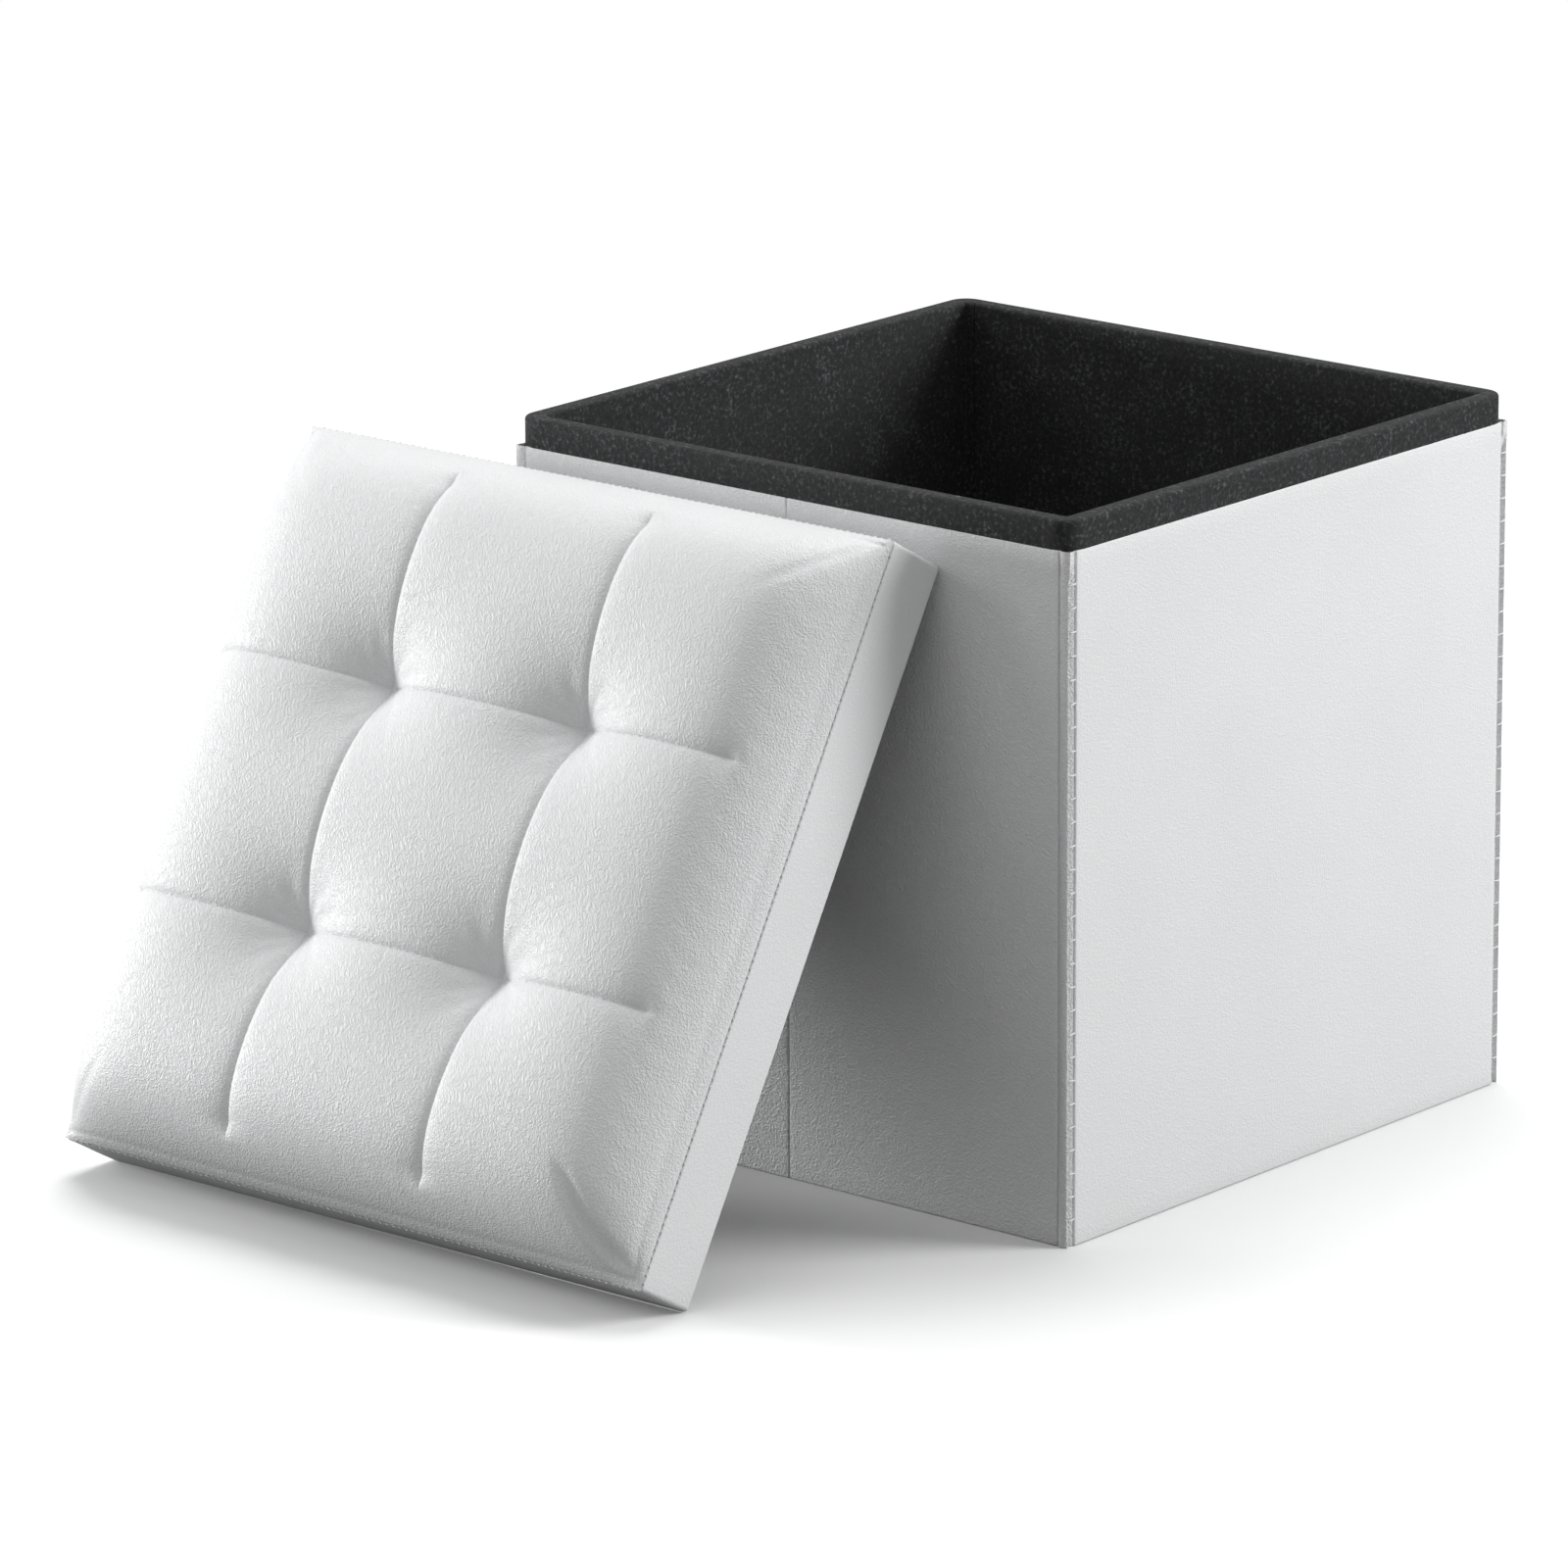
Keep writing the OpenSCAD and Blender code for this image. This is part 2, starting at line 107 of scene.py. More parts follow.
class Paint:
    """One material, or the world that it is given, whose nodes all come from node()."""

    def __init__(self, name, world=None):
        self.material = world or bpy.data.materials.new(name)
        self.material.use_nodes = True
        self.tree = self.material.node_tree
        if not world:
            self.shader = self.tree.nodes["Principled BSDF"]
            self.place = self.node("ShaderNodeTexCoord", out="Object")

    def node(self, kind, settings=None, *values, out=0, **named):
        """Adds a node: its settings go first, then values or links for its sockets in order, or by name."""
        made = self.tree.nodes.new(kind)
        for key, value in (settings or {}).items():
            if key == "stops":
                ramp = made.color_ramp
                while len(ramp.elements) < len(value):
                    ramp.elements.new(0.5)
                for stop, (at, shade) in zip(ramp.elements, value):
                    stop.position, stop.color = at, (*([shade] * 3 if np.isscalar(shade) else shade), 1)
            else:
                setattr(made, key, value)
        pairs = [(made.inputs[i], v) for i, v in enumerate(values)]
        pairs += [(made.inputs[k.replace("_", " ")], v) for k, v in named.items()]
        for socket, value in pairs:
            self.plug(socket, value)
        return Socket(self, made.outputs[out])

    def plug(self, socket, value):
        """Gives a socket a link or a value."""
        if isinstance(value, Socket):
            self.tree.links.new(value.link, socket)
        else:
            socket.default_value = value

    def set(self, **named):
        """Sets sockets of the surface shader by name, with _ for a space."""
        for key, value in named.items():
            self.plug(self.shader.inputs[key.replace("_", " ")], value)

    def bump(self, height, strength, distance):
        """Tilts the surface's normal as if height, from 0 to 1, stood distance metres high."""
        self.set(Normal=self.node("ShaderNodeBump", None, strength, distance, Height=height))


def srgb(*levels):
    """Display levels from 0 to 1, as the linear levels that a shader socket takes."""
    linear = [v / 12.92 if v <= 0.04045 else ((v + 0.055) / 1.055) ** 2.4 for v in levels]
    return (*linear, 1.0)


def white_leather(name, level=0.885, grain_and_shade=1.0):
    """White imitation leather: a fine pebble from cells broken by noise, with painted shade in its hollows,
    faint mottling, satin sheen.
    """
    paint = Paint(name)
    wander = paint.node("ShaderNodeTexNoise", None, Vector=paint.place, Scale=180.0, Detail=2.0)
    bent = paint.node("ShaderNodeVectorMath", {"operation": "MULTIPLY_ADD"}, wander, (0.006,) * 3,
                      paint.place)
    pebble = paint.node("ShaderNodeTexVoronoi", {"feature": "SMOOTH_F1"}, Vector=bent, Scale=850.0,
                        Smoothness=0.6)
    fine = paint.node("ShaderNodeTexNoise", None, Vector=paint.place, Scale=1500.0, Detail=3.0)
    height = pebble * 1.2 + fine * 0.5
    blotch = paint.node("ShaderNodeTexNoise", None, Vector=paint.place, Scale=14.0, Detail=3.0)
    shade = paint.node("ShaderNodeValToRGB", {"stops": [
        (0.3, srgb(level - 0.008, level - 0.005, level - 0.002)[:3]),
        (0.7, srgb(level + 0.004, level + 0.006, level + 0.010)[:3])]}, blotch)
    # Painted shade: the colour is darkened by up to a tenth of the grain strength where the pebble is low
    shaded_in_hollows = paint.node("ShaderNodeMixRGB", {"blend_type": "MULTIPLY"}, 0.10 * grain_and_shade, shade, pebble)
    paint.set(Base_Color=shaded_in_hollows, Roughness=0.42 + 0.10 * fine, Specular_IOR_Level=0.42)
    paint.bump(height, 0.75 * grain_and_shade, 0.0005)
    return paint.material


def piece_of(name, points, faces, cap=()):
    """A mesh piece, linked to the scene, from points, smooth quads and one flat face with many corners.
    Edges of more than 50 degrees stay sharp."""
    mesh = bpy.data.meshes.new(name)
    corners = np.concatenate((faces.ravel(), np.asarray(cap, int))).astype(np.int32)
    starts = np.arange(0, faces.size + bool(len(cap)), 4, dtype=np.int32)
    mesh.vertices.add(len(points))
    mesh.vertices.foreach_set("co", np.asarray(points, np.float32).ravel())
    mesh.loops.add(len(corners))
    mesh.loops.foreach_set("vertex_index", corners)
    mesh.polygons.add(len(starts))
    mesh.polygons.foreach_set("loop_start", starts)
    mesh.update(calc_edges=True)
    mesh.polygons.foreach_set("use_smooth", np.arange(len(starts)) < len(faces))
    mesh.set_sharp_from_angle(angle=np.radians(50))
    piece = bpy.data.objects.new(name, mesh)
    bpy.context.scene.collection.objects.link(piece)
    return piece


def shell(name, outer, inner, ring=False):
    """A closed sheet between two grids of the same shape, rows x columns x 3. The outer grid looks to the
    side that its columns x its rows point to, the inner one is turned over, and strips close the borders.
    With ring the last row joins the first, and no border is closed there."""
    front = np.arange(outer.shape[0] * outer.shape[1]).reshape(outer.shape[:2])
    back = front + front.size
    if ring:
        front, back = (np.concatenate((grid, grid[:1])) for grid in (front, back))

    def quads(a, b, c, d):
        """Rows of four corners, from four grids of them."""
        return np.stack((a, b, c, d), -1).reshape(-1, 4)
    faces = [quads(g[:-1, :-1], g[:-1, 1:], g[1:, 1:], g[1:, :-1])[:, ::turn]
             for g, turn in ((front, 1), (back, -1))]
    for a, b, turn in ((front[:, 0], back[:, 0], 1), (front[:, -1], back[:, -1], -1)):
        faces.append(quads(a[:-1], a[1:], b[1:], b[:-1])[:, ::turn])
    if not ring:
        for a, b, turn in ((front[0], back[0], -1), (front[-1], back[-1], 1)):
            faces.append(quads(a[:-1], a[1:], b[1:], b[:-1])[:, ::turn])
    points = np.concatenate((outer.reshape(-1, 3), inner.reshape(-1, 3)))
    return piece_of(name, points, np.concatenate(faces))


def dense_ends(start, end, step, radius):
    """Positions from start to end, close together on the rolled edges and about a step apart between."""
    bend = radius * (1 - np.cos(np.linspace(0, np.pi / 2, 5)))
    middle = np.linspace(start + radius, end - radius, max(2, int((end - start) / step)))
    return np.concatenate((start + bend[:-1], middle, (end - bend[:-1])[::-1]))


def wall_leather(name, start, end, to_place, edge=0.0009):
    """A leather sheet on a wall, from the hem up to its top. to_place(s, z, d) gives the place of a point
    s along the wall, z up and d inside the wall's face.

    The four edges roll back by a quarter circle. Inside them the face swells and sinks by up to a quarter
    of a millimetre in three crossing waves, as leather does that is glued by hand."""
    s, z = np.meshgrid(dense_ends(start, end, 0.003, edge), dense_ends(HEM, TOP_Z, 0.008, edge))
    to_side, to_top = np.minimum(s - start, end - s), np.minimum(z - HEM, TOP_Z - z)
    over = np.minimum(np.hypot(np.clip(edge - to_side, 0, None), np.clip(edge - to_top, 0, None)), edge)
    waves = np.sin(23 * s + 9 * z + start * 40) + np.sin(31 * z - 14 * s + 2) + 0.5 * np.sin(61 * z + 37 * s)
    calm = np.clip(np.minimum(to_side, to_top) / 0.03, 0, 1)
    depth = edge - np.sqrt(edge ** 2 - over ** 2) - 0.0001 * waves * calm
    return shell(name, to_place(s, z, depth), to_place(s, z, np.full_like(s, LEATHER)))


LEATHER = 0.0011
HALF_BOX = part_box("front_skin")[1].x
HEM, BAND_Z = 0.0002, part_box("front_skin")[1].z
TOP_Z = BAND_Z + 0.0004
END_SHEET = HALF_BOX - 0.0057
leather = white_leather("wall_leather", grain_and_shade=0.5)
for end, body, node in ((-1, "front_wall", "front_skin"), (1, "back_wall", "back_skin")):
    def on_end_wall(s, z, d, end=end):
        """s runs so that the sheet looks away from the box."""
        return np.stack((-end * s, end * (HALF_BOX - d), z), -1)
    sheet = wall_leather(node.replace("skin", "leather"), -END_SHEET, END_SHEET, on_end_wall)
    sheet.data.materials.append(leather)
    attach(sheet, body)
    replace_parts(sheet, node)

# --- Creased side walls ---------------------------------------------------------------------------
# Each side is two leather sheets over two boards, and they meet at an upright crease on a slit.
# Next to the corners a sheet runs on over the folding gap.
# Its grain is stronger than on the end walls, and so is the painted shade in the pebble's hollows
side_leather = white_leather("side_leather", grain_and_shade=1.1)
HINGE_Y = abs(next(j for j in frame["joints"] if j["name"] == "fold")["pos_m"][1])
SIDE_SHEET, CREASE, SLIT = HALF_BOX - 0.0072, 0.0002, 0.0004
for side, side_name in ((-1, "left"), (1, "right")):
    def on_side_wall(s, z, d, side=side):
        """s runs so that the sheet looks away from the box."""
        return np.stack((side * (HALF_BOX - d), side * s, z), -1)
    for end, end_name, wall in ((-1, "front", "front_wall"), (1, "rear", "back_wall")):
        leaf = f"{side_name}_{end_name}_leaf"
        open_corner = leaf == "right_rear_leaf"
        last = HINGE_Y - SLIT if open_corner else SIDE_SHEET
        ends = sorted((side * end * CREASE, side * end * last))
        sheet = wall_leather(f"{side_name}_{end_name}_leather", *ends, on_side_wall)
        sheet.data.materials.append(side_leather)
        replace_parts(sheet, f"{side_name}_{end_name}_skin")
        if open_corner:
            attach(sheet, leaf)
        else:
            end * (HINGE_Y - 0.008)
            end * (HINGE_Y + 0.006)
            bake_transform(sheet)

# --- Leather edge at the open right back corner ---------------------------------------------------
# The folding ring is left open here, so a narrow strip of the same leather belongs to the back wall
# and closes the side up to the slit.
strip = wall_leather("right_corner_leather", HINGE_Y + SLIT, SIDE_SHEET,
                     lambda s, z, d: np.stack((HALF_BOX - d, s, z), -1))
strip.data.materials.append(side_leather)
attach(strip, "back_wall")

# --- Crease hinges --------------------------------------------------------------------------------
# A leather strip behind each crease closes the slit between the two boards. It is 0.3 mm thick and 8 mm
# wide, and is let into the back of both sheets.
for side, side_name in ((-1, "left"), (1, "right")):
    y, z = np.meshgrid(side * np.linspace(-0.004, 0.004, 9), np.linspace(HEM + 0.0005, BAND_Z, 12))
    strip = shell(f"{side_name}_crease_hinge", *(np.stack((np.full_like(y, side * (HALF_BOX - d)), y, z), -1)
                                                 for d in (0.00075, 0.00105)))
    strip.data.materials.append(side_leather)
    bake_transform(strip)

# --- Corner seams ---------------------------------------------------------------------------------
# Down each corner the side leather folds over a cord into a soft ridge, and ends in a deep groove.
# Heavy white thread bridges the groove in short level stitches, one every 12 mm.


def tubes(name, paths, radius, sides=8):
    """Thread: one closed tube along each path, paths being number x points x 3. The radius is drawn in by
    sqrt(1 - |k|^5) as k runs from -1 to 1 along a path, so the ends are blunt and round."""
    count, points = paths.shape[:2]
    along = np.gradient(paths, axis=1)
    along /= np.linalg.norm(along, axis=-1, keepdims=True)
    across = np.cross(along, np.where(np.abs(along[..., 2:]) > 0.9, (1.0, 0, 0), (0, 0, 1.0)))
    across /= np.linalg.norm(across, axis=-1, keepdims=True)
    above = np.cross(across, along)
    k = np.linspace(-1, 1, points)
    r = radius * np.sqrt(np.clip(1 - np.abs(k) ** 5, 1e-6, 1))[None, :, None, None]
    a = np.linspace(0, 2 * np.pi, sides, endpoint=False)[None, None, :, None]
    skin = paths[:, :, None] + r * (np.cos(a) * across[:, :, None] + np.sin(a) * above[:, :, None])
    grid = np.arange(skin.size // 3).reshape(count, points, sides)
    turned = np.roll(grid, -1, axis=2)
    faces = [np.stack((grid[:, :-1], grid[:, 1:], turned[:, 1:], turned[:, :-1]), -1).reshape(-1, 4)]
    for i in range(1, sides - 2, 2):
        faces += [grid[:, 0][:, [0, i, i + 1, i + 2]], grid[:, -1][:, [i + 2, i + 1, i, 0]]]
    return piece_of(name, skin.reshape(-1, 3), np.concatenate(faces))


thread = Paint("white_thread")
twist = thread.node("ShaderNodeTexWave", {"bands_direction": "DIAGONAL"}, Vector=thread.place, Scale=420.0)
thread.set(Base_Color=srgb(0.90, 0.90, 0.90), Roughness=0.6 + 0.2 * twist)
thread.bump(twist, 0.6, 0.0003)
# The section of a corner seam, outside and hidden side. Each point is its distance inside the side's
# face and inside the end wall's face, in millimetres.
SEAM = np.array(((1.05, 8.2), (1.05, 7.3), (1.0, 6.9), (0.6, 6.5), (0.15, 6.0), (-0.25, 5.2), (-0.52, 4.3),
                 (-0.6, 3.3), (-0.5, 2.4), (-0.2, 1.5), (0.2, 0.85), (0.65, 0.75), (1.0, 1.3), (1.3, 2.1),
                 (1.7, 2.8), (2.3, 3.1), (3.1, 2.7), (3.9, 2.0), (4.8, 1.3), (5.6, 1.08))) * 0.001
UNDER = np.array(((1.15, 8.2), (1.15, 7.3), (1.15, 6.9), (1.1, 6.5), (0.75, 6.1), (0.35, 5.3), (0.1, 4.4),
                  (0.05, 3.5), (0.1, 2.8), (0.35, 2.1), (0.5, 1.6), (0.65, 1.55), (0.75, 1.9), (1.0, 2.6),
                  (1.5, 3.3), (2.3, 3.6), (3.3, 3.2), (4.2, 2.4), (5.0, 1.5), (5.6, 1.17))) * 0.001
STITCH = 0.0124
for x_side, y_side in ((-1, -1), (1, -1), (-1, 1), (1, 1)):
    body = "front_wall" if y_side < 0 else "back_wall"
    place = f"{'front' if y_side < 0 else 'back'}_{'left' if x_side < 0 else 'right'}"
    z = np.concatenate((np.linspace(HEM, BAND_Z - 0.02, 30),
                        np.linspace(BAND_Z - 0.018, TOP_Z, 10)))
    # The groove closes between 17 and 5 mm under the band
    shut = np.clip((z - BAND_Z + 0.017) / 0.012, 0, 1)
    shut = (shut * shut * (3 - 2 * shut))[:, None]
    grids = []
    for section, groove in ((SEAM, 0.0002), (UNDER, 0.0009)):
        u, v = (np.broadcast_to(c, (len(z), len(c))).copy() for c in section.T)
        v[:, 11:18] += shut * (groove - v[:, 11:18])
        u[:, 1:11] += 0.00012 * np.sin(z * 260 + 3 * x_side)[:, None]
        grids.append(np.stack((x_side * (HALF_BOX - u), y_side * (HALF_BOX - v),
                               np.broadcast_to(z[:, None], u.shape)), -1)[:, ::int(x_side * y_side)])
    seam = shell(f"corner_seam_{place}", *grids)
    seam.data.materials.append(side_leather)
    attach(seam, body)
    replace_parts(seam, f"bead_{place}")
    # A stitch is 5.2 mm long, bows out by 0.2 mm, and leans a little up or down
    rows = np.arange(BAND_Z - 0.0165, 0.012, -STITCH)
    k = np.linspace(-1, 1, 11)
    paths = np.stack(np.broadcast_arrays(x_side * (HALF_BOX - 0.0034 - 0.0026 * k)[None],
                                         y_side * (HALF_BOX - 0.00035 + 0.0002 * (1 - k ** 2))[None],
                                         rows[:, None] + 0.0003 * np.sin(rows * 900)[:, None] * k[None]), -1)
    stitches = tubes(f"corner_stitches_{place}", paths, 0.00045)
    stitches.data.materials.append(thread.material)
    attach(stitches, body)

# --- Black lining of the front and back walls -----------------------------------------------------
# A speckled black cloth glued to the inner faces. It goes up over the rim and comes down outside as a
# band 16 mm high. At the corners it runs round in one piece, and ends just before the folding gap.


def black_cloth(name):
    """Matt black cloth of short felted fibres: light flecks on a dark ground, and a rough nap."""
    paint = Paint(name)
    flecks = paint.node("ShaderNodeTexNoise", None, Vector=paint.place, Scale=430.0, Detail=4.0,
                        Roughness=0.75)
    clumps = paint.node("ShaderNodeTexNoise", None, Vector=paint.place, Scale=55.0, Detail=2.0)
    shade = paint.node("ShaderNodeValToRGB", {"stops": [
        (0.30, srgb(0.090, 0.091, 0.096)[:3]), (0.55, srgb(0.165, 0.168, 0.172)[:3]),
        (0.72, srgb(0.370, 0.376, 0.382)[:3])]}, flecks + 0.18 * (clumps - 0.5))
    paint.set(Base_Color=shade, Roughness=0.80 + 0.15 * clumps, Specular_IOR_Level=0.35)
    paint.bump(flecks + 0.3 * clumps, 0.6, 0.0006)
    return paint.material


def rim_path(*turns):
    """Centres and outward normals along an edge, anticlockwise from above. Each turn is (x, y, angle): a
    point on the square that the corner radius is drawn from, and the direction in degrees that the edge
    faces there. Points at most 8 mm apart join two turns on a straight run, and eight make a corner."""
    centres, angles = [], []
    for (x0, y0, a0), (x1, y1, a1) in zip(turns, turns[1:]):
        steps = 8 if a0 != a1 else max(12, int(np.hypot(x1 - x0, y1 - y0) / 0.008))
        k = np.linspace(0, 1, steps)[bool(centres):]
        centres.append(np.stack((x0 + (x1 - x0) * k, y0 + (y1 - y0) * k), -1))
        angles.append(np.radians(a0 + (a1 - a0) * k))
    centres, angles = np.concatenate(centres), np.concatenate(angles)
    return centres, np.stack((np.cos(angles), np.sin(angles)), -1)


def inset(centres, normals, r, d):
    """Points d inside an edge whose corners have radius r, points x depths x 2. Past the radius the
    corners are sharp: there the offset runs on along the normal over its larger part."""
    sharp = normals / np.abs(normals).max(1, keepdims=True)
    d = np.asarray(d, float)[None, :, None]
    return centres[:, None] + np.where(d < r, normals[:, None] * (r - d), sharp[:, None] * (r - d))


def lining(name, *turns):
    """The lining along a stretch of rim: outer band, rounded cap and inner face, 0.7 mm thick.

    Its section is the band at 0.4 mm inside the wall's face, two quarter circles of 2 mm over the rim,
    and the inner face at 11 mm. The hidden side comes within 0.15 mm of the outside over the board's sharp
    edges. Waves of less than half a millimetre lift the inner face."""
    centres, normals = rim_path(*turns)
    band, inner = HALF_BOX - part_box("front_lining")[1].x, HALF_BOX - WALL_IN
    rim_z, foot_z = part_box("front_lining")[1].z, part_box("front_lining")[0].z
    a, across = np.linspace(0, np.pi / 2, 7), np.linspace(band + CAP_R, inner - CAP_R, 7)[1:-1]
    upper, lower = np.linspace(BAND_Z, rim_z - CAP_R, 4)[:-1], np.linspace(rim_z - CAP_R, foot_z, 46)[1:]

    def section(t):
        """The grid of one side: the outside where t is 0, and the hidden side t within it."""
        r = CAP_R - t + 0.8 * t * np.sin(2 * a)
        top = np.full(5, rim_z - t)
        d = np.concatenate((np.full(3, band + t), band + CAP_R - r * np.cos(a), across,
                            inner - CAP_R + r * np.sin(a), np.full(45, inner - t)))
        z = np.concatenate((upper, rim_z - CAP_R + r * np.sin(a), top, rim_z - CAP_R + r * np.cos(a), lower))
        place = inset(centres, normals, RIM_R, d).swapaxes(0, 1)
        return np.concatenate((place, np.broadcast_to(z[:, None, None], (*place.shape[:2], 1))), -1)
    outer, hidden = section(0.0), section(LINING)
    x, y, z = np.moveaxis(outer, -1, 0)
    lift = np.sin(37 * (x + y) + 11 * z) * np.sin(19 * z + 3) + 0.5 * np.sin(83 * (x - y) - 47 * z)
    deep = np.clip((rim_z - 0.012 - z) / 0.03, 0, 1) * (np.arange(len(z)) > 21)[:, None]
    outer[..., :2] -= normals[None] * (0.00015 * (lift + 1.5) * deep)[..., None]
    strip = shell(name, outer, hidden)
    strip.data.materials.append(cloth_paint)
    return strip


cloth_paint = black_cloth("black_cloth")
WALL_IN = -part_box("left_front_lining")[1].x
RIM_R, CAP_R, LINING = 0.012, 0.002, 0.0007
CORE = HALF_BOX - RIM_R
ARM = HINGE_Y + 0.003
front_turns = ((-CORE, -ARM, 180), (-CORE, -CORE, 180), (-CORE, -CORE, 270), (CORE, -CORE, 270),
               (CORE, -CORE, 360), (CORE, -ARM, 360))
back_turns = ((CORE, HINGE_Y + 0.0003, 0), (CORE, CORE, 0), (CORE, CORE, 90), (-CORE, CORE, 90),
              (-CORE, CORE, 180), (-CORE, ARM, 180))
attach(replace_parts(lining("front_lining_cloth", *front_turns), "front_lining"), "front_wall")
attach(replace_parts(lining("back_lining_cloth", *back_turns), "back_lining"), "back_wall")

# --- Black lining of the side walls ---------------------------------------------------------------
# The same cloth. Three strips a side lie edge to edge.
# Only at the open right back corner the cloth ends at a slit, where the folding ring is left open.
FOLD_Y = HINGE_Y - 0.019
for side, side_name, face in ((-1, "left", 180), (1, "right", 0)):
    for part, start, end, bodies in (("front_corner", -ARM, -FOLD_Y, ("front_wall", "front_leaf")),
                                     ("middle", -FOLD_Y, FOLD_Y, ("front_leaf", "rear_leaf")),
                                     ("rear_corner", FOLD_Y, ARM, ("rear_leaf", "back_wall"))):
        a, b = (f"{side_name}_{body}" if "leaf" in body else body for body in bodies)
        open_corner = (a, b) == ("right_rear_leaf", "back_wall")
        if open_corner:
            end = HINGE_Y - 0.0003
        run = ((side * CORE, start, face), (side * CORE, end, face))
        strip = lining(f"{side_name}_lining_{part}", *(run[::-1] if side < 0 else run))
        if open_corner:
            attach(strip, a)
        else:
            line, before, after = {"front_corner": (-HINGE_Y, 0.003, 0.006), "middle": (0.0, 0.008, 0.008),
                                   "rear_corner": (HINGE_Y, 0.006, 0.003)}[part]
            line - before
            line + after
            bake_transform(strip)
        if part == "middle":
            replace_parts(strip, f"{side_name}_front_lining", f"{side_name}_rear_lining")

# --- Boards of the walls and the lid --------------------------------------------------------------
# Bare fibreboard, 9 mm in the walls and 8 mm round the lid: brown fibres, pressed into a faint cloud.
# Leather and cloth hide nearly all of it. Every board keeps the solid of its CAD node.
board = Paint("fibreboard")
fibres = board.node("ShaderNodeTexNoise", None, Vector=board.place, Scale=900.0, Detail=4.0, Roughness=0.7)
cloudy = board.node("ShaderNodeTexNoise", None, Vector=board.place, Scale=40.0, Detail=2.0)
board.set(Base_Color=board.node("ShaderNodeValToRGB", {"stops": [
    (0.3, srgb(0.60, 0.49, 0.36)[:3]), (0.7, srgb(0.76, 0.64, 0.48)[:3])]}, 0.6 * fibres + 0.4 * cloudy),
    Roughness=0.75 + 0.2 * fibres)
board.bump(fibres, 0.3, 0.0004)


def repaint(paint, nodes):
    """Gives CAD pieces this material in place of their own."""
    for node in nodes:
        materials = frame["nodes"][node].data.materials
        materials.clear()
        materials.append(paint.material)


repaint(board, [node for node in frame["nodes"] if node.endswith(("_panel", "_board")) or "_rail_" in node])

# --- Floor cloth ----------------------------------------------------------------------------------
# The same black cloth, sewn between the lower edges of the walls, where it lies slack on the ground.
low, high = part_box("floor_cloth")
x, y = np.meshgrid(np.linspace(low.x, high.x, 90), np.linspace(low.y, high.y, 90))
edge = np.clip(np.minimum(high.x - np.abs(x), high.y - np.abs(y)) / 0.02, 0, 1)
slack = 0.5 + 0.25 * np.sin(37 * x + 9 * np.sin(21 * y)) + 0.25 * np.sin(43 * y - 8 * np.sin(17 * x))
top = low.z + 0.0009 - 0.0002 * edge * slack
floor_piece = shell("floor_cloth_soft", np.stack((x, y, top), -1), np.stack((x, y, top - 0.0006), -1))
floor_piece.data.materials.append(cloth_paint)
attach(floor_piece, "front_wall")
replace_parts(floor_piece, "floor_cloth")
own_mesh(floor_piece)

# --- Sleeve of the base board ---------------------------------------------------------------------
# A loose board stands upright against the front wall in a black cloth sleeve. A strip along its
# lower edge ties it to the wall, and a ribbon loop on top lifts it.
low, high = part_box("base_sleeve")
bend = 0.0018
x, z = np.meshgrid(dense_ends(low.x, high.x, 0.008, bend), dense_ends(low.z, high.z, 0.008, bend))
near = np.minimum(np.minimum(x - low.x, high.x - x), np.minimum(z - low.z, high.z - z))
roll = bend - np.sqrt(bend ** 2 - np.clip(bend - near, 0, bend) ** 2)
ripple = 0.00012 * (1 + np.sin(31 * x + 17 * z) * np.sin(27 * z - 5 * x)) * np.clip(near / 0.01, 0, 1)
sleeve = shell("base_sleeve_cloth", np.stack((-x, high.y - roll - ripple, z), -1),
               np.stack((-x, low.y + roll, z), -1))
sleeve.data.materials.append(cloth_paint)
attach(sleeve, "front_wall")
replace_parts(sleeve, "base_sleeve")

# --- Hinge strip and pull loop of the base board --------------------------------------------------
# Both are black ribbon. The strip turns under the sleeve and ties it to the front wall, and the loop
# stands up from the sleeve's upper edge, where a hand pulls the board.


def ribbon(name, path, width, thick):
    """A ribbon whose flat side follows a path of (y, z) points, as wide as x from -width/2 to width/2."""
    path = np.asarray(path, float)
    for _ in range(3):
        cut = np.stack((0.75 * path[:-1] + 0.25 * path[1:], 0.25 * path[:-1] + 0.75 * path[1:]), 1)
        path = np.concatenate((path[:1], cut.reshape(-1, 2), path[-1:]))
    along = np.gradient(path, axis=0)
    along /= np.linalg.norm(along, axis=1, keepdims=True)
    off = np.stack((-along[:, 1], along[:, 0]), -1) * thick / 2
    x = np.linspace(-width / 2, width / 2, max(5, int(width / 0.01)))
    faces = []
    for at in (path + off, path - off):
        faces.append(np.concatenate((np.broadcast_to(x[None, :, None], (len(at), len(x), 1)),
                                     np.broadcast_to(at[:, None], (len(at), len(x), 2))), -1))
    made = shell(name, *faces)
    made.data.materials.append(cloth_paint)
    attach(made, "front_wall")
    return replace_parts(made, name.rsplit("_", 1)[0])


strip_low, strip_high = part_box("base_hinge_strip")
under, upright = strip_low.z + 0.0004, strip_high.y - 0.0004
ribbon("base_hinge_strip_cloth", ((strip_low.y, under), (low.y + 0.001, under),
                                  (high.y - 0.001, strip_low.z + 0.0003), (upright, under),
                                  (upright, strip_low.z + 0.002), (upright, 0.018),
                                  (upright, strip_high.z)), strip_high.x - strip_low.x, 0.0007)
loop_low, loop_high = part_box("base_pull_loop")
k = np.linspace(0, np.pi, 25)
half_span, rise = (loop_high.x - loop_low.x) / 2, loop_high.z - loop_low.z
centre_y = (loop_low.y + loop_high.y) / 2
